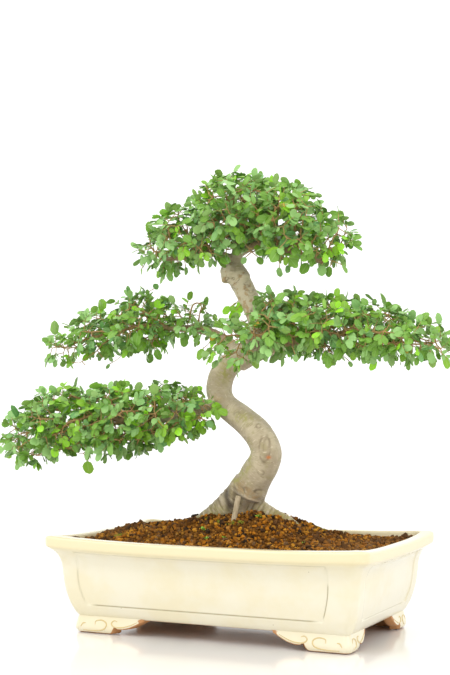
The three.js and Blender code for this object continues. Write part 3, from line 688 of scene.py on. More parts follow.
def make_twig_tubes():
    """A closed tube along every run of edges, as thick as its points say."""
    tree, start, end = start_tree("twig_tubes")
    curve = new_node(tree, "GeometryNodeMeshToCurve", {"Mesh": start["Geometry"]})
    ring = new_node(tree, "GeometryNodeCurvePrimitiveCircle", {"Resolution": TWIG_SIDES, "Radius": 1.0})
    skin = new_node(tree, "GeometryNodeCurveToMesh", {
        "Fill Caps": True, "Curve": curve.outputs["Curve"], "Profile Curve": ring.outputs["Curve"],
        "Scale": named_value(tree, "twig_radius")})
    return end_tree(tree, skin.outputs["Mesh"], start, end)


def make_crumb_scatter():
    """Granules spread over the soil, no closer than their spacing, each with its own tone."""
    numbers = [("Spacing", "NodeSocketFloat"), ("Size", "NodeSocketFloat"), ("Seed", "NodeSocketInt")]
    tree, start, end = start_tree("crumb_scatter", numbers, SHAPE_LABELS)
    spread = new_node(tree, "GeometryNodeDistributePointsOnFaces", {
        "Mesh": start["Geometry"], "Distance Min": start["Spacing"], "Density Max": CRUMB_DENSITY,
        "Seed": start["Seed"]}, distribute_method="POISSON")
    rise = random_value(tree, (0, 0, -0.55), (0, 0, 0.85), 5, "FLOAT_VECTOR")
    offset = new_node(tree, "ShaderNodeVectorMath", {0: rise, "Scale": start["Size"]}, operation="SCALE")
    lifted = new_node(tree, "GeometryNodeSetPosition", {
        "Geometry": spread.outputs["Points"], "Offset": offset.outputs[0]})
    toned = new_node(tree, "GeometryNodeStoreNamedAttribute", {
        "Geometry": lifted.outputs["Geometry"], "Name": "crumb_tone",
        "Value": random_value(tree, 0.0, 1.0, 9)}, data_type="FLOAT", domain="POINT")
    size = new_node(tree, "ShaderNodeMath", {
        0: start["Size"], 1: random_value(tree, 0.5, 1.45, 3)}, operation="MULTIPLY")
    place = new_node(tree, "GeometryNodeInstanceOnPoints", {
        "Pick Instance": True, "Points": toned.outputs["Geometry"], "Instance": gather_shapes(tree, start),
        "Instance Index": random_value(tree, 0, len(SHAPE_LABELS) - 1, 0, "INT"),
        "Rotation": random_value(tree, (0, 0, 0), (2 * math.pi,) * 3, 7, "FLOAT_VECTOR"),
        "Scale": size.outputs[0]})
    return end_tree(tree, place.outputs["Instances"], start, end)


# Pot

def corner_radius(inset):
    return max(LEAST_CORNER, CORNER_RADIUS - CORNER_TIGHTENING * inset)


def side_stations(half, coarse, fine_places=()):
    """Places along one straight side, close together where something fine needs them."""
    places = list(np.arange(-half, half, coarse))
    for low, high, step in fine_places:
        places = [place for place in places if not low <= place <= high]
        places += list(np.arange(low, high, step))
    return np.array(sorted(places)) / half


def ring_columns():
    """For every column of the wall: how far along each side it stands, and which way it faces."""
    half_x = POT_LENGTH / 2 - MEAN_INSET - corner_radius(MEAN_INSET)
    half_y = POT_DEPTH / 2 - MEAN_INSET - corner_radius(MEAN_INSET)
    long_side = side_stations(half_x, 2.6, [(-125, -113, 0.8), (106.5, 116.5, 0.55)])
    back_side = side_stations(half_x, 2.6, [(-116.5, -106.5, 0.8), (113, 125, 0.8)])
    short_side = side_stations(half_y, 2.6, [(-68, -58, 0.8), (58, 68, 0.8)])
    corner = np.linspace(0, math.pi / 2, 9)[:-1]
    columns = []
    for side, along in [(long_side, (1, 0)), (short_side, (0, 1)), (back_side, (-1, 0)),
                        (short_side, (0, -1))]:
        face = np.array((along[1], -along[0]), float)
        for place in side:
            columns.append((*(place * np.array(along) + face), *face))
        start = math.atan2(face[1], face[0])
        end_corner = np.array(along) + face
        for turn in corner:
            columns.append((*end_corner, math.cos(start + turn), math.sin(start + turn)))
    return np.array(columns, float)


def ring_at(columns, inset):
    """The points of a ring round the pot, set in from the rim by inset."""
    radius = corner_radius(inset)
    half = np.array([POT_LENGTH / 2 - inset - radius, POT_DEPTH / 2 - inset - radius])
    return columns[:, :2] * half + radius * columns[:, 2:]


def rim_dip(points, inset, height):
    """The rim rises to its corners; the walls below take less and less of that rise."""
    along = np.abs(points) / (np.array([POT_LENGTH, POT_DEPTH]) / 2 - inset)
    rise = np.min(along, axis=1) ** 3
    return RIM_SAG * smooth_step(45, POT_HEIGHT, height) * (1 - rise)


def panel_reach(along, height, left, right):
    """How far inside a sunk panel a place on the wall lies; below 0 it is outside."""
    right_edge = right - 6 * np.clip((57 - height) / 29, 0, None) ** 2
    left_edge = left + 6 * np.clip((53 - height) / 27, 0, None) ** 2
    sides = np.minimum(right_edge - along, along - left_edge)
    return np.minimum(sides, np.minimum(height - PANEL_LOW, PANEL_TOP - height))


def panel_marks(points, facing, height):
    """Depth of the sunk panels, and tone of the dark lines on one ring of the wall: darker glaze with
    painted shade in the grooves, and a painted shadow line under the rim.
    """
    depth = np.zeros(len(points))
    line = np.zeros(len(points))
    left, right = FRONT_PANEL
    walls = [(facing[:, 1] < -0.9, points[:, 0], left, right, True),
             (facing[:, 1] > 0.9, points[:, 0], -right, -left, False),
             (np.abs(facing[:, 0]) > 0.9, points[:, 1], *END_PANEL, False)]
    for wall, along, left, right, front in walls:
        reach = panel_reach(along, height, left, right)
        depth += wall * PANEL_DEPTH * smooth_step(-0.4, 1.6, reach)
        groove = np.exp(-((reach - 0.4) / 0.55) ** 2)
        depth += wall * 0.3 * groove
        low = height - PANEL_LOW < 2
        strength = np.where(low, smooth_step(left + 9, left + 18, along)
                            * smooth_step(right - 8, right - 20, along), 0.0)
        end = smooth_step(27, 31, height) * smooth_step(59, 54, height)
        if front:
            ends = np.where(along > right - 12, end, 0.35 * end * (along < left + 12))
            strength = np.maximum(strength, ends)
        else:
            strength = np.maximum(0.5 * strength, 0.15 * end * (np.abs(along) > right - 12))
        # Along the panel's top, a faint painted shadow line under the rim's overhang
        strength = np.maximum(strength, 0.22 * (PANEL_TOP - height < 2))
        line += wall * groove * strength
    return depth, line


def wall_rows():
    """The wall's profile from the underside to the lip, in rows close enough for the lines."""
    profile = smooth_path(OUTER_WALL, 12)
    heights = [14, 14.1, 14.6, 15.4, 16.5, 18, 20, 22, 23.6, *np.arange(24.4, 27.4, 0.35),
               *np.arange(28.5, 72, 1.9), *np.arange(72.4, 75.4, 0.5), 76.2, 77, 77.8, 78.6, 79.4, 80.2,
               81, 82, 83.2, 84.4, 85, 85.6, 86, 86.3]
    order = np.maximum.accumulate(profile[:, 0])
    return [(height, float(np.interp(height, order, profile[:, 1]))) for height in heights]


def make_pot_body(columns):
    """Wall, lip, inside and floor as one closed skin."""
    rows = [(height, inset, True) for height, inset in wall_rows()]
    rows += [(height, inset, False) for height, inset in smooth_path(LIP_AND_INNER_WALL, 3)]
    points, line, rim, clay = [], [], [], []
    for height, inset, outside in rows:
        ring = ring_at(columns, inset)
        drop_by = rim_dip(ring, inset, height)
        if outside:
            depth, tone = panel_marks(ring, columns[:, 2:], height)
            ring = ring - depth[:, None] * columns[:, 2:]
        else:
            tone = np.zeros(len(ring))
        points.append(np.column_stack([ring, height - drop_by]))
        line.append(tone)
        rim.append(np.full(len(ring), float(smooth_step(72, 78, height)) * 0.85 if inset < 20 else 0.0))
        bare = height < 14.3 if outside else height < 60
        clay.append(np.full(len(ring), float(bare)))
    sides = len(columns)
    middle = [(0, 0, UNDERSIDE), (0, 0, rows[-1][0])]
    faces = tube_faces(len(rows), sides)
    ends = np.zeros(2)
    body = new_piece("pot_body", np.vstack([*points, middle]), faces)
    set_tones(body, line_tone=np.concatenate([*line, ends]), rim_tone=np.concatenate([*rim, ends]),
              clay_tone=np.concatenate([*clay, ends + 1]), scroll_tone=0.0)
    return body


def foot_edge(beyond, tongue):
    """Height of a foot's lower edge, by how far past the ground contact it reaches."""
    share = (beyond - FOOT_STEP) / (tongue - FOOT_STEP)
    step = np.interp(beyond, [-1, 0.5, 2, 3.8, 5.2, 6, 7.2, 9], [0, 0.3, 0.9, 3, 5.6, 6.4, 5.4, 4.6])
    curl = np.interp(share, [0, 0.2, 0.45, 0.7, 0.88, 0.97, 1.0], [4.6, 4.8, 6.3, 9.2, 11.6, 12.8, 15])
    return np.where(beyond < FOOT_STEP, np.where(beyond < -1, 0, step), curl)


def make_foot():
    """The corner foot at front right: a bent wall with a stepped, curled lower edge."""
    radius = corner_radius(20)
    corner_x, corner_y = POT_LENGTH / 2 - 20 - radius, POT_DEPTH / 2 - 20 - radius
    long_end, short_end = LONG_FOOT[0] - LONG_FOOT[1], SHORT_FOOT[0] - SHORT_FOOT[1]
    stations = []
    for x in np.arange(long_end, corner_x, 0.9):
        stations.append((x / corner_x, -1, 0, -1, LONG_FOOT[0] - x, LONG_FOOT[1]))
    for turn in np.linspace(0, math.pi / 2, 10):
        stations.append((1, -1, math.sin(turn), -math.cos(turn), -9, 1e3))
    for y in np.arange(corner_y - 0.9, short_end, -0.9):
        stations.append((1, -y / corner_y, 1, 0, SHORT_FOOT[0] - y, SHORT_FOOT[1]))
    face = smooth_path(FOOT_FACE, 6)
    points, clay = [], []
    up = np.array([0, 0.05, 0.14, 0.3, 0.5, 0.75]) * FOOT_ROUNDING
    for along_x, along_y, face_x, face_y, beyond, tongue in stations:
        low = float(foot_edge(np.array(beyond), tongue))
        heights = np.concatenate([low + up, np.linspace(low + FOOT_ROUNDING, FOOT_TOP, 9)[1:]])
        insets = np.interp(heights, face[:, 0], face[:, 1])
        above = np.clip(FOOT_ROUNDING - (heights - low), 0, FOOT_ROUNDING)
        tuck = FOOT_ROUNDING - np.sqrt(np.maximum(FOOT_ROUNDING ** 2 - above ** 2, 0))
        outer = list(zip(heights, insets + tuck))
        wall = insets[0] + FOOT_WALL
        inner = [(FOOT_TOP, wall + 2), (0.5 * (low + FOOT_TOP), wall), (low + 0.6, wall - 0.2),
                 (low, wall - 0.9)]
        tip = smooth_step(tongue - 9, tongue - 1, beyond)
        for index, (height, inset) in enumerate(outer + inner):
            corner = corner_radius(inset)
            half_x = POT_LENGTH / 2 - inset - corner
            half_y = POT_DEPTH / 2 - inset - corner
            points.append((along_x * half_x + corner * face_x, along_y * half_y + corner * face_y, height))
            hidden = index >= len(outer) or height - low < 0.7
            clay.append(1.0 if hidden else 0.9 * float(tip) * (height - low < 4))
    ring = len(points) // len(stations)
    first = np.mean(points[:ring], axis=0)
    last = np.mean(points[-ring:], axis=0)
    faces = [face[::-1] for face in tube_faces(len(stations), ring)]
    return np.array([*points, first, last]), faces, np.array([*clay, 1.0, 1.0])


def on_foot_face(along, height, short):
    """A point on the outer face of the front right foot, on its long or its short side."""
    inset = np.interp(height, *zip(*FOOT_FACE))
    if short:
        return (POT_LENGTH / 2 - inset, -along, height)
    return (along, -(POT_DEPTH / 2 - inset), height)


def make_scrolls():
    """The raised scroll lines on both faces of the front right foot."""
    beads = []
    for short, scrolls in ((False, LONG_SCROLLS), (True, SHORT_SCROLLS)):
        for scroll in scrolls:
            path = [on_foot_face(along, height, short) for along, height in smooth_path(scroll, 8)]
            fade = np.sin(np.linspace(0.25, math.pi - 0.25, len(path))) ** 0.5
            beads.append((path, SCROLL_RADIUS * fade))
    return beads


def make_pot(material):
    columns = ring_columns()
    body = make_pot_body(columns)
    foot, foot_faces, foot_clay = make_foot()
    points, faces, clay, scroll = [], [], [], []

    def add(some_points, some_faces, some_clay, tone):
        base = sum(len(block) for block in points)
        points.append(some_points)
        faces.extend(tuple(base + index for index in face) for face in some_faces)
        clay.append(some_clay)
        scroll.append(np.full(len(some_points), tone))

    beads = [tube(path, radii, 6) for path, radii in make_scrolls()]
    for sign_x, sign_y in ((1, 1), (-1, 1), (1, -1), (-1, -1)):
        sign = np.array((sign_x, sign_y, 1))
        turned = sign_x * sign_y < 0
        for block, block_faces, block_clay, tone in (
                [(foot, foot_faces, foot_clay, 0.0)]
                + [(bead, bead_faces, np.zeros(len(bead)), 0.7) for bead, bead_faces in beads]):
            add(block * sign, [face[::-1] for face in block_faces] if turned else block_faces,
                block_clay, tone)
    feet = new_piece("pot_feet", np.vstack(points), faces)
    set_tones(feet, clay_tone=np.concatenate(clay), scroll_tone=np.concatenate(scroll), line_tone=0.0,
              rim_tone=0.25)
    drill_points, drill_faces = [], []
    for x in DRAIN_PLACES:
        path = [(x, 0, UNDERSIDE - 4), (x, 0, 26)]
        first = sum(len(block) for block in drill_points)
        more_points, more_faces = tube(path, [DRAIN_RADIUS] * 2, 32, first)
        drill_points.append(more_points)
        drill_faces += more_faces
    drill = new_piece("drill", np.vstack(drill_points), drill_faces, smooth=False)
    cut = body.modifiers.new("drain_holes", "BOOLEAN")
    cut.operation, cut.solver, cut.object = "DIFFERENCE", "EXACT", drill
    keep_result(body)
    pot = join("glazed_pot", [body, feet])
    set_material(pot, material)
    pot.data.set_sharp_from_angle(angle=math.radians(50))
    drop(drill)
    return pot


def join(name, pieces):
    """Several pieces as one."""
    with bpy.context.temp_override(active_object=pieces[0], selected_editable_objects=pieces):
        bpy.ops.object.join()
    pieces[0].name = name
    return pieces[0]


# Wood

def wood_paths():
    return [TRUNK, *ROOTS, *[limb for limbs in LIMBS.values() for limb in limbs]]


def swelling(centre, radii):
    """A rounded lump on the wood."""
    turns = np.linspace(0, math.pi, 9)
    path = [(0, 0, -math.cos(turn)) for turn in turns[1:-1]]
    points, faces = tube(path, np.sin(turns[1:-1]), 14)
    return points * np.array(radii) + np.array(centre), faces


def wood_lines():
    """Sample points down the middle of all the wood: place, direction, radius, run and limb."""
    lines = []
    for index, points in enumerate(wood_paths()):
        path = smooth_path(points, 12)
        ahead = unit(np.gradient(path[:, :3], axis=0))
        run = np.concatenate([[0], np.cumsum(np.linalg.norm(np.diff(path[:, :3], axis=0), axis=1))])
        lines.append(np.column_stack([path[:, :3], ahead, path[:, 3], run + 400 * index,
                                      np.full(len(path), index)]))
    return np.vstack(lines)


def make_wood(material):
    """Trunk, surface roots and limbs, grown together, with the bark's relief."""
    blocks, faces, base = [], [], 0
    for points in wood_paths():
        path = smooth_path(points, 6)
        block, block_faces = tube(path[:, :3], path[:, 3], 28, base)
        blocks.append(block)
        faces += block_faces
        base += len(block)
    for centre, radii in [PRUNING_SCAR, *KNOTS]:
        block, block_faces = swelling(centre, radii)
        blocks.append(block)
        faces += [tuple(base + index for index in face) for face in block_faces]
        base += len(block)
    wood = new_piece("tree_trunk", np.vstack(blocks), faces)
    melt = wood.modifiers.new("grown_together", "REMESH")
    melt.mode, melt.voxel_size, melt.use_smooth_shade = "VOXEL", BARK_CELL * MM, True
    soften = wood.modifiers.new("soften", "SMOOTH")
    soften.factor, soften.iterations = 0.5, 5
    keep_result(wood)
    carve_bark(wood)
    set_material(wood, material)
    return wood


def away_from_trunk(points):
    """How far each point lies from the trunk's skin."""
    path = smooth_path(TRUNK, 8)
    return (np.linalg.norm(points[:, None] - path[None, :, :3], axis=2) - path[:, 3]).min(axis=1)


def near(points, centre, size):
    """1 at the centre, falling softly to 0 at about twice the size."""
    away = (points - np.array(centre)) / np.array(size)
    return np.exp(-np.sum(away ** 2, axis=1))


def carve_bark(wood):
    """Raises and cuts the bark, and keeps the tones that belong to each mark."""
    points = drawing_points(wood)
    normals = np.zeros(len(points) * 3)
    wood.data.vertices.foreach_get("normal", normals)
    normals = normals.reshape(-1, 3)
    lines = wood_lines()
    tree = KDTree(len(lines))
    for index, row in enumerate(lines):
        tree.insert(Vector(row[:3]), index)
    tree.balance()
    nearest = np.array([tree.find(Vector(point))[1] for point in points])
    line = lines[nearest]
    ahead, radius, run, limb = line[:, 3:6], line[:, 6], line[:, 7], line[:, 8]
    front = unit(np.array((0, -1, 0)) + ahead * ahead[:, 1:2])
    across = np.cross(ahead, front)
    away = points - line[:, :3]
    run = run + np.sum(away * ahead, axis=1)
    turn = np.arctan2(np.sum(away * across, axis=1), np.sum(away * front, axis=1))
    place = np.column_stack([np.cos(turn) * radius, np.sin(turn) * radius, run])
    age = smooth_step(240, 285, points[:, 2]) * (limb == 0)
    root = ((limb > 0) & (limb < 4)).astype(float)
    rings = rough(place * (0.12, 0.12, 1.0), 1.7)
    bands = rough(place * (0.08, 0.08, 1.0), 2.2, 5.0) * root * smooth_step(136, 126, points[:, 2])
    lumps = rough(points, 14, 3.0)
    knobs = rough(points, 6, 11.0)
    flakes = rough(place * (0.8, 0.8, 1.0), 4.4, 7.0)
    crack = smooth_step(0.11, 0.02, np.abs(flakes)) * age * smooth_step(-0.3, 0.2, rough(points, 11, 9.0))
    height = 0.55 * lumps + 0.10 * rings + 0.9 * bands - 0.6 * crack + age * (0.3 * flakes + 0.9 * knobs)
    healed = bark_rings(points)
    depth, there = below_fold(points)
    recess = there * smooth_step(-0.4, 2.2, depth) * smooth_step(15, 6, depth)
    lip = there * np.exp(-((depth + 0.9) / 0.7) ** 2) * smooth_step(4, 9, points[:, 0])
    # Painted shade along the fold's crease
    crease = there * np.exp(-((depth - 0.3) / 0.7) ** 2)
    cleft = near_line(points, CLEFT, 3.0)
    height += 0.5 * lip - 2.0 * recess - 2.4 * cleft - 0.3 * healed
    height -= 0.8 * near(points, *EYE_KNOT)
    scale = np.clip(radius / 8, 0.3, 1.0)
    points += normals * (height * scale)[:, None]
    wood.data.vertices.foreach_set("co", metres(points).ravel())
    wood.data.update()
    low = smooth_step(122, 100, points[:, 2])
    # Painted shade for the cleft and for the recess under the fold
    hollow = 1.1 * near_line(points, CLEFT, 3.6) + 0.42 * recess
    moss = 0.6 * low * root + sum(near(points, *spot) for spot in LICHEN)
    brown = sum(near(points, *spot) for spot in BROWN_PATCHES)
    set_tones(
        wood,
        age_tone=age,
        root_tone=root * smooth_step(132, 122, points[:, 2]),
        crack_tone=np.clip(0.8 * crack + healed + 0.7 * crease, 0, 1),
        band_tone=smooth_step(0.0, 0.3, -bands),
        brown_tone=np.clip(brown, 0, 1),
        lip_tone=np.clip(0.6 * lip + 0.6 * smooth_step(0.0, 0.3, bands), 0, 1),
        limb_tone=smooth_step(6, 22, away_from_trunk(points)) * (limb > 4),
        moss_tone=np.clip(moss, 0, 0.9),
        hollow_tone=np.clip(hollow, 0, 0.95),
        orange_tone=np.clip(1.4 * near(points, *ORANGE_SPOT), 0, 0.8))
    set_values(wood, "bark_place", place, "FLOAT_VECTOR")


def bark_rings(points):
    """The thin dark rims of healed wounds on the front of the trunk."""
    marks = np.zeros(len(points))
    for x, z, half_x, half_z, strength in BARK_RINGS:
        away = np.abs(np.hypot((points[:, 0] - x) / half_x, (points[:, 2] - z) / half_z) - 1)
        marks = np.maximum(marks, strength * np.exp(-(away * min(half_x, half_z) / 0.62) ** 2))
    return marks * (points[:, 1] < -6) * smooth_step(-0.5, 0.1, rough(points, 4.5, 21.0))


def below_fold(points):
    """How far each point lies below the crease where the trunk's foot folds over, and if it is there."""
    across, back, up = points.T
    slope = np.interp(across, *zip(*FOLD_SLOPES))
    depth = (np.interp(across, *zip(*FOLD_EDGE)) - up) / np.sqrt(1 + slope ** 2)
    return depth, smooth_step(-3.5, -1, across) * smooth_step(26, 20, across) * smooth_step(-4, -8, back)


def near_line(points, path, size):
    """1 on a line given by points, falling softly to 0 at about twice the size."""
    path = smooth_path(path, 6)
    away = np.linalg.norm(points[:, None] - path[None], axis=2).min(axis=1)
    return np.exp(-(away / size) ** 2)


# Foliage

def lobe_share(points, lobe):
    """How far out in a lobe each point lies: 0 at its centre, 1 on its surface."""
    return np.linalg.norm((points - np.array(lobe[:3])) / np.array(lobe[3:]), axis=-1)


def spread_shoots(lobes, random):
    """Places for the leafy shoots: evenly through all but the core of the pad."""
    aside, above, below = SHOOT_ROOM
    tries = []
    for lobe in lobes:
        radii = np.array(lobe[3:])
        count = int(radii.prod() * SHOOT_TRIES)
        away = unit(random.normal(size=(count, 3)))
        room = np.column_stack([np.full((count, 2), aside), np.where(away[:, 2] > 0, above, below)])
        share = random.uniform(0, 1, size=(count, 1)) ** (1 / 3)
        tries.append(np.array(lobe[:3]) + away * share * (radii - room))
    tries = np.vstack(tries)
    random.shuffle(tries)
    core = np.min([lobe_share(tries, lobe) for lobe in lobes], axis=0) < SHOOT_CORE
    kept = tries[:1]
    for point in tries[~core]:
        if np.min(np.sum((kept - point) ** 2, axis=1)) > SHOOT_SPACING ** 2:
            kept = np.vstack([kept, point])
    return kept


def outward_from(points, lobes):
    """Which way is out of the pad at each point."""
    shares = np.array([lobe_share(points, lobe) for lobe in lobes])
    weights = np.exp(-6 * (shares - shares.min(axis=0)))
    out = np.zeros_like(points)
    for weight, lobe in zip(weights, lobes):
        slope = (points - np.array(lobe[:3])) / np.array(lobe[3:]) ** 2
        out += weight[:, None] * unit(slope)
    return unit(out)


def grow_branches(starts, targets, random):
    """Branches that grow step by step, each tip pulled by the shoots that it is nearest to."""
    nodes = np.array(starts, float)
    parents = [-1] * len(nodes)
    distance = np.linalg.norm(targets[:, None] - nodes[None], axis=2)
    nearest = distance.argmin(axis=1)
    shortest = distance.min(axis=1)
    for _ in range(GROWTH_STEPS):
        open_targets = np.nonzero(shortest > SHOOT_CATCH)[0]
        if not len(open_targets):
            break
        pull = {}
        for index in open_targets:
            away = targets[index] - nodes[nearest[index]]
            pull.setdefault(int(nearest[index]), []).append(away / np.linalg.norm(away))
        grown = []
        for parent, pulls in pull.items():
            ahead = unit(np.mean(pulls, axis=0) + 0.35 * random.normal(size=3) * (1, 1, 0.5))
            if parents[parent] >= 0:
                ahead = unit(ahead + 0.5 * unit(nodes[parent] - nodes[parents[parent]]))
            point = nodes[parent] + BRANCH_STEP * ahead
            grown.append(point)
            parents.append(parent)
        first = len(nodes)
        nodes = np.vstack([nodes, grown])
        distance = np.linalg.norm(targets[:, None] - nodes[None, first:], axis=2)
        closer = distance.min(axis=1) < shortest
        nearest[closer] = first + distance.argmin(axis=1)[closer]
        shortest = np.minimum(shortest, distance.min(axis=1))
    return nodes, np.array(parents), nearest


def thicken(parents, ends):
    """Radius of every branch point from the shoots that it feeds."""
    flow = np.zeros(len(parents))
    for end in ends:
        flow[end] += TWIG_TIP_RADIUS ** PIPE_POWER
    for index in range(len(parents) - 1, -1, -1):
        if parents[index] >= 0:
            flow[parents[index]] += flow[index]
    return flow ** (1 / PIPE_POWER)


def relax(nodes, parents, fixed):
    """Evens out the branches' kinks, keeping their first points where they are."""
    for _ in range(3):
        total = np.zeros_like(nodes)
        count = np.zeros(len(nodes))
        for index in range(fixed, len(nodes)):
            parent = parents[index]
            total[index] += nodes[parent]
            count[index] += 1
            total[parent] += nodes[index]
            count[parent] += 1
        moved = (count > 1) & (np.arange(len(nodes)) >= fixed)
        nodes[moved] = 0.5 * nodes[moved] + 0.5 * total[moved] / count[moved][:, None]
    return nodes


def make_stray_shoot(kit):
    """The small leafy shoot that grows straight from the upper trunk, on its left."""
    random = np.random.default_rng(STRAY_SEED)
    leaves = Leaves()
    points, edges = [], []
    for start, tip, length in STRAY_SHOOTS:
        start, tip = np.array(start, float), np.array(tip, float)
        middle = 0.5 * (start + tip) + np.array((0, 0, 1.2))
        first = len(points)
        points += [start, middle, tip]
        edges += [(first, first + 1), (first + 1, first + 2)]
        dress_shoot(leaves, start + 0.2 * (tip - start), tip, np.array((0.2, -0.8, 0.5)), 0.7, random, 0.0,
                    True, (0.7 * length, length))
    build_foliage("stray_shoot", points, [0.4] * len(points), edges, leaves, kit)


def limb_starts(limbs):
    """Points down the part of the limbs that lies in the pad, where branches may leave."""
    starts, radii = [], []
    for limb in limbs:
        path = smooth_path(limb, 8)
        half = path[len(path) // 3:]
        starts.append(half[:, :3])
        radii.append(half[:, 3])
    return np.vstack(starts), np.concatenate(radii)


def leaf_stance(ahead, upward, side, angle, droop, random):
    """How a leaf stands: the turn from its own axes to its place on the shoot."""
    aside = unit(np.cross(upward, ahead)) * side
    blade = unit(math.cos(angle) * ahead + math.sin(angle) * aside + droop * np.array((0, 0, -1.0)))
    face = unit(upward + 0.45 * random.normal(size=3))
    face = unit(face - blade * face.dot(blade))
    turn = Matrix((blade, np.cross(face, blade), face)).transposed()
    return tuple(turn.to_euler())


class Leaves:
    """The leaves of one pad or shoot, gathered point by point."""

    def __init__(self):
        self.places, self.turns, self.lengths, self.tones, self.kinds = [], [], [], [], []

    def add(self, place, turn, length, tone, kind):
        self.places.append(place)
        self.turns.append(turn)
        self.lengths.append(length * MM)
        self.tones.append(tone)
        self.kinds.append(kind)

    def build(self, name, kit):
        piece = new_piece(name, self.places, [])
        set_values(piece, "leaf_turn", self.turns, "FLOAT_VECTOR")
        set_values(piece, "leaf_length", self.lengths)
        set_values(piece, "leaf_tone", self.tones)
        set_values(piece, "leaf_kind", self.kinds, "INT")
        values = dict(zip(SHAPE_LABELS, kit["shapes"]), Material=kit["leaf"])
        return run_tree(piece, kit["scatter"], values)


def build_foliage(name, points, thickness, edges, leaves, kit, node=None):
    """The twigs and the leaves of one pad or shoot, as two pieces."""
    twigs = new_piece(name + "_twigs", points, [], edges)
    set_values(twigs, "twig_radius", np.array(thickness) * MM)
    twigs = run_tree(twigs, kit["tubes"], {"Material": kit["twig"]})
    for piece in (twigs, leaves.build(name + "_leaves", kit)):
        finish_piece(piece, node)


def dress_shoot(leaves, base, tip, upward, droop, random, lean=0.0, young=False, sizes=LEAF_LENGTHS):
    """Alternate leaves up a shoot and one at its tip."""
    count = int(random.integers(SHOOT_LEAVES[0], SHOOT_LEAVES[1] + 1))
    ahead = unit(tip - base)
    shoot_tone = lean + random.uniform(0, 0.6)
    for index in range(count):
        share = 0.28 + 0.72 * index / (count - 1)
        last = index == count - 1
        angle = 0.0 if last else math.radians(random.uniform(38, 66))
        side = -1 if index % 2 else 1
        length = (sizes[0] + (sizes[1] - sizes[0]) * share) * random.uniform(0.75, 1.25)
        if random.random() < 0.06:
            length *= random.uniform(*BIG_LEAVES)
        turn = leaf_stance(ahead, upward, side, angle, droop * random.uniform(0.3, 1.2), random)
        tone = shoot_tone + random.uniform(0, 0.24)
        if young or random.random() < 0.025:
            tone = random.uniform(0.8, 0.98)
        elif random.random() < 0.003:
            tone = 0.995
        leaves.add(base + share * (tip - base), turn, length, tone, int(random.integers(0, 3)))


def make_pad(name, lobes, limbs, seed, kit):
    """One pad: branches grown from its limbs, and leafy shoots at their ends."""
    random = np.random.default_rng(seed)
    shoots = spread_shoots(lobes, random)
    seen = np.array(SEEN_LEAVES[name], float)
    lean, young_share = PAD_TONES[name]
    starts, start_radii = limb_starts(limbs)
    nodes, parents, ends = grow_branches(starts, np.vstack([shoots, seen[:, :3]]), random)
    nodes = relax(nodes, parents, len(starts))
    nodes[len(starts):] += 0.35 * random.normal(size=(len(nodes) - len(starts), 3))
    radii = np.maximum(thicken(parents, ends), TWIG_TIP_RADIUS)
    radii[:len(starts)] = np.minimum(radii[:len(starts)], 0.9 * start_radii)
    outward = outward_from(shoots, lobes)
    points, thickness = list(nodes), list(radii)
    edges = [(int(parents[index]), index) for index in range(len(starts), len(nodes))]
    leaves = Leaves()
    for row, end in zip(seen, ends[len(shoots):]):
        first = len(points)
        points.append(row[:3])
        thickness.append(0.42)
        edges.append((int(end), first))
        if row[3]:
            lean_by = (0, 0, -6.0 if row[2] < lobes[0][2] + 20 else 3.0)
            hanging = unit(row[:3] - nodes[end] + np.array(lean_by))
            turn = leaf_stance(hanging, np.array((0.3, -1, 0.2)), 1, 0.0, 0.0, random)
            leaves.add(row[:3], turn, row[3], row[4], int(random.integers(0, 3)))
    for place, out, end in zip(shoots, outward, ends):
        base = nodes[end]
        hang = smooth_step(0.0, -0.8, out[2])
        ahead = unit(unit(place - base) + 0.9 * out + np.array((0, 0, 0.2 - 0.3 * hang))
                     + 0.4 * random.normal(size=3))
        tip = place + SHOOT_REACH * ahead * random.uniform(0.5, 1.1)
        middle = 0.5 * (base + tip) + 0.6 * random.normal(size=3)
        first = len(points)
        points += [middle, tip]
        thickness += [0.34, 0.24]
        edges += [(int(end), first), (first, first + 1)]
        upward = unit(0.55 * out + np.array((0, -0.15, 0.7)) + 0.4 * random.normal(size=3))
        patch = noise.noise(Vector(tip) / YOUNG_PATCH + Vector((seed, 0, 0)))
        young = random.random() < young_share + 0.9 * smooth_step(0.28, 0.6, patch)
        dress_shoot(leaves, base + 0.25 * (tip - base), tip, upward, 0.2 + 0.25 * hang, random, lean, young)
    for curl in CURLED_TWIGS.get(name, []):
        path = smooth_path(curl, 3)
        first = len(points)
        points += list(path)
        thickness += list(np.linspace(1.0, 0.45, len(path)))
        edges += [(first + step, first + step + 1) for step in range(len(path) - 1)]
    build_foliage(name, points, thickness, edges, leaves, kit, name)
    return len(leaves.places)


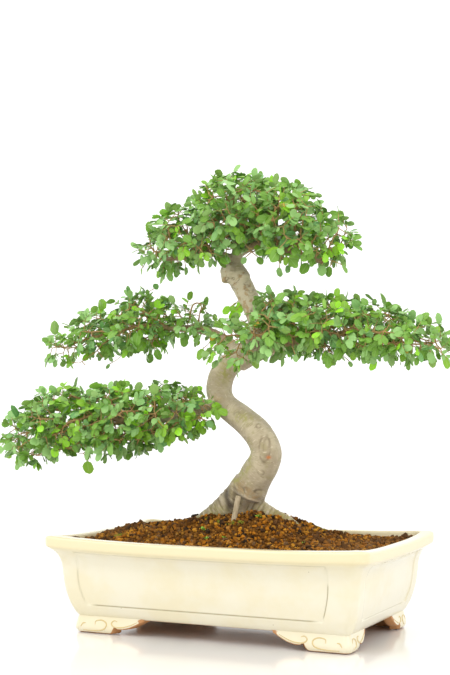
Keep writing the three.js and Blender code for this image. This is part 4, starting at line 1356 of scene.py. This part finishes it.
def leaf_shape(name, width, fold, curl, twist):
    """A closed leaf of length 1 along +X: folded along its rib, curled and finely toothed."""
    along = np.array([0.12, 0.36, 0.64, 0.88])
    half = width / 2 * np.array([0.66, 1.0, 1.0, 0.64])
    tooth = 0.02 * np.array([1, -1, 1, -1])
    thick = 0.028
    points, place = [], []

    def put(x, y, z, where):
        bend = -curl * x * x + fold * abs(y)
        roll = twist * x
        points.append((x, y * math.cos(roll) - (z + bend) * math.sin(roll),
                       y * math.sin(roll) + (z + bend) * math.cos(roll)))
        place.append(where)
        return len(points) - 1

    base = put(0, 0, 0, (0, 0, 0))
    tip = put(1, 0, 0, (0, 1, 0))
    rows = {}
    for key, side in (("left", 1), ("right", -1)):
        rows[key] = [put(x + 0.02 * side, side * (y + t * side), 0, (side, x, 0))
                     for x, y, t in zip(along, half, tooth)]
    for key, level in (("top", 1), ("under", -1)):
        rows[key] = [put(x, 0, level * thick, (0, x, level)) for x in along]
    faces = []
    for middle, flip in (("top", False), ("under", True)):
        for edge, mirrored in (("left", False), ("right", True)):
            rib, rim = [base, *rows[middle], tip], [base, *rows[edge], tip]
            for i in range(len(rib) - 1):
                face = list(dict.fromkeys((rib[i], rib[i + 1], rim[i + 1], rim[i])))
                if flip != mirrored:
                    face.reverse()
                faces.append(face)
    stalk = [put(x, y, z, (0, 0, 0)) for x in (-0.13, 0.05)
             for y, z in ((0.018, -0.012), (-0.018, -0.012), (0, 0.02))]
    for i in range(3):
        j = (i + 1) % 3
        faces.append([stalk[i], stalk[j], stalk[3 + j], stalk[3 + i]])
    faces += [[stalk[2], stalk[1], stalk[0]], [stalk[3], stalk[4], stalk[5]]]
    shape = add_mesh(name, points, faces)
    shape.data.set_sharp_from_angle(angle=math.radians(70))
    set_values(shape, "leaf_place", place, "FLOAT_VECTOR")
    return shape


def crumb_shape(name, seed, flat):
    """A rough granule of radius 1, with few faces."""
    random = np.random.default_rng(seed)
    turns = np.linspace(0, math.pi, 5)[1:-1]
    path = [(0, 0, -math.cos(turn) * flat) for turn in turns]
    points, faces = tube(path, np.sin(turns), 6)
    points[-2:] = [(0, 0, -flat), (0, 0, flat)]
    points = points * (1 + random.uniform(-0.42, 0.22, size=(len(points), 1)))
    return add_mesh(name, points, faces, smooth=False)


def finish_piece(piece, node=None):
    """The piece rides on the root, and the model's part that it stands for is hidden."""
    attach(piece, "root")
    if node:
        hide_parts(node)
    return piece


# Soil

def soil_top():
    """The upper faces of the soil, where the granules lie."""
    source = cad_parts["soil"].data
    points = (np.array([vertex.co for vertex in source.vertices]) - MIDDLE) / MM
    faces = [tuple(face.vertices) for face in source.polygons if face.normal.z > 0.25
             and min(points[list(face.vertices)][:, 2]) > 70]
    return new_piece("soil_top", points, faces, smooth=False)


def make_soil(crumbs, materials):
    set_material(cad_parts["soil"], materials["bed"])
    scatter = make_crumb_scatter()
    for name, spacing, size, seed, finish in CRUMB_LAYERS:
        values = dict(zip(SHAPE_LABELS, crumbs), Spacing=spacing * MM, Size=size * MM, Seed=seed,
                      Material=materials[finish])
        layer = run_tree(soil_top(), scatter, values)
        layer.name = name
        finish_piece(layer)


def on_soil(x, y):
    """The place on the soil's surface above or below a point of the drawing."""
    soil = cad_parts["soil"].data
    surface = BVHTree.FromPolygons([vertex.co for vertex in soil.vertices],
                                   [tuple(face.vertices) for face in soil.polygons])
    hit = surface.ray_cast(Vector(metres((x, y, 200))), Vector((0, 0, -1)))[0]
    return (np.array(hit) - MIDDLE) / MM


def make_moss(crumbs, material, scatter):
    """Small cushions of moss: many tiny crumbs on a few spots of the soil."""
    random = np.random.default_rng(MOSS_SEED)
    points = []
    for x, y, size in MOSS_SPOTS:
        for _ in range(int(2.0 * size ** 2)):
            away = random.normal(size=2) * size * 0.5
            points.append(on_soil(x + away[0], y + away[1]) + (0, 0, 1.0))
    moss = new_piece("moss_cushions", points, [])
    count = len(points)
    set_values(moss, "leaf_turn", random.uniform(0, 6.28, (count, 3)), "FLOAT_VECTOR")
    set_values(moss, "leaf_length", random.uniform(0.5, 1.1, count) * MM)
    set_values(moss, "leaf_kind", random.integers(0, 3, count), "INT")
    values = dict(zip(SHAPE_LABELS, crumbs), Material=material)
    finish_piece(run_tree(moss, scatter, values))


def make_weeds(kit):
    """Small bright seedlings that stand in the soil."""
    random = np.random.default_rng(WEED_SEED)
    leaves = Leaves()
    for x, y, length in WEEDS:
        ground = on_soil(x, y)
        start = random.uniform(0, 6.28)
        for turn in start + np.linspace(0, 2 * math.pi, 6)[:-1]:
            ahead = unit(np.array((math.cos(turn), math.sin(turn), random.uniform(0.5, 1.6))))
            place = ground + 0.5 * length * ahead + (0, 0, 0.4)
            stance = leaf_stance(ahead, np.array((0, 0, 1.0)), 1, 0.0, 0.0, random)
            leaves.add(place, stance, length * random.uniform(0.8, 1.2), random.uniform(0.82, 0.97),
                       int(random.integers(0, 3)))
    finish_piece(leaves.build("soil_weeds", kit))


def make_peg(material):
    """The peg, a little crooked and roughened all over."""
    low, high = np.array(PEG_LOW), np.array(PEG_HIGH)
    share = np.linspace(0, 1, 9)[:, None]
    path = low + share * (high - low) + np.array((0.35, 0, 0)) * np.sin(share * 5)
    points, faces = tube(path, np.linspace(2.5, 2.25, 9), 14)
    points += 0.18 * np.column_stack([rough(points, 3, 1), rough(points, 3, 2), rough(points, 2, 3)])
    peg = new_piece("support_peg", points, faces)
    set_material(peg, material)
    peg.data.set_sharp_from_angle(angle=math.radians(50))
    finish_piece(peg, "peg")


# Stage

FLOOR_REACH, FLOOR_LEVEL = 6000, -0.4
LIGHT_SIZE, LIGHT_AIM = 900, (0, 0, 200)
LIGHTS = [("key_light", (-700, -1100, 1500), 9.0), ("right_light", (1300, -500, 900), 4.0)]
SKY_COLOR, SKY_STRENGTH = (1.0, 1.0, 0.985, 1), 1.3
# The photograph's view: turn and tilt in degrees, then distance, height and slide to the right
CAMERA_TURN, CAMERA_TILT = 25.1, 2.46
CAMERA_DISTANCE, CAMERA_HEIGHT, CAMERA_SLIDE = 1231.4, 210.3, -15.95
FOCAL_PIXELS, PHOTO_HEIGHT, SENSOR_HEIGHT = 1353, 675, 36


def make_stage():
    corners = [(x * FLOOR_REACH, y * FLOOR_REACH, FLOOR_LEVEL)
               for x, y in ((-1, -1), (1, -1), (1, 1), (-1, 1))]
    floor = new_piece("floor", corners, [(0, 1, 2, 3)], smooth=False)
    set_material(floor, plain_finish("pale_floor"))
    world = bpy.data.worlds.new("studio")
    world.use_nodes = True
    sky = world.node_tree.nodes["Background"]
    sky.inputs["Color"].default_value = SKY_COLOR
    sky.inputs["Strength"].default_value = SKY_STRENGTH
    bpy.context.scene.world = world
    for name, place, power in LIGHTS:
        add_light(name, place, LIGHT_SIZE, power)
    bpy.context.scene.view_settings.view_transform = "Standard"


def add_light(name, place, size, power):
    """A square soft light aimed at the middle of the tree."""
    light = bpy.data.lights.new(name, "AREA")
    light.size = size * MM
    light.energy = power
    lamp = add_object(name, light)
    lamp.location = metres(place)
    aim = Vector(metres(LIGHT_AIM)) - lamp.location
    lamp.rotation_euler = aim.to_track_quat("-Z", "Y").to_euler()


def make_camera():
    """The photograph's view, fitted to the pot's edges."""
    turn, tilt = math.radians(CAMERA_TURN), math.radians(CAMERA_TILT)
    ahead = Vector((-math.sin(turn) * math.cos(tilt), math.cos(turn) * math.cos(tilt), math.sin(tilt)))
    right = Vector((math.cos(turn), math.sin(turn), 0))
    place = np.array((CAMERA_DISTANCE * math.sin(turn), -CAMERA_DISTANCE * math.cos(turn), CAMERA_HEIGHT))
    place += CAMERA_SLIDE * np.array(right)
    data = bpy.data.cameras.new("camera")
    data.sensor_fit = "VERTICAL"
    data.sensor_height = SENSOR_HEIGHT
    data.lens = SENSOR_HEIGHT * FOCAL_PIXELS / PHOTO_HEIGHT
    camera = add_object("camera", data)
    camera.location = metres(place)
    camera.rotation_euler = ahead.to_track_quat("-Z", "Y").to_euler()
    bpy.context.scene.camera = camera


def main():
    make_camera()
    make_stage()
    pot = make_pot(glaze_finish())
    finish_piece(pot, "pot")
    trunk = make_wood(bark_finish())
    finish_piece(trunk, "trunk")
    make_peg(peg_finish())
    for side in ("left", "right"):
        set_material(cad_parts["drain_mesh_" + side], plain_finish("drain_mesh_plastic"))
    crumbs = [crumb_shape(*shape) for shape in CRUMB_SHAPES]
    soil_materials = {"bed": plain_finish("soil_bed"), "clay": crumb_finish("clay_crumb", CLAY_TONES),
                      "grit": crumb_finish("dark_grit", GRIT_TONES)}
    make_soil(crumbs, soil_materials)
    scatter = make_leaf_scatter()
    make_moss(crumbs, plain_finish("moss_green"), scatter)
    shapes = [leaf_shape(*shape) for shape in LEAF_SHAPES]
    kit = {"scatter": scatter, "tubes": make_twig_tubes(), "shapes": shapes,
           "twig": twig_finish(), "leaf": leaf_finish()}
    for index, (name, lobes) in enumerate(PADS.items()):
        count = make_pad(name, lobes, LIMBS[name], PAD_SEED + index, kit)
        print(name, "leaves", count)
    make_stray_shoot(kit)
    make_weeds(kit)
    drop(*shapes, *crumbs)


main()
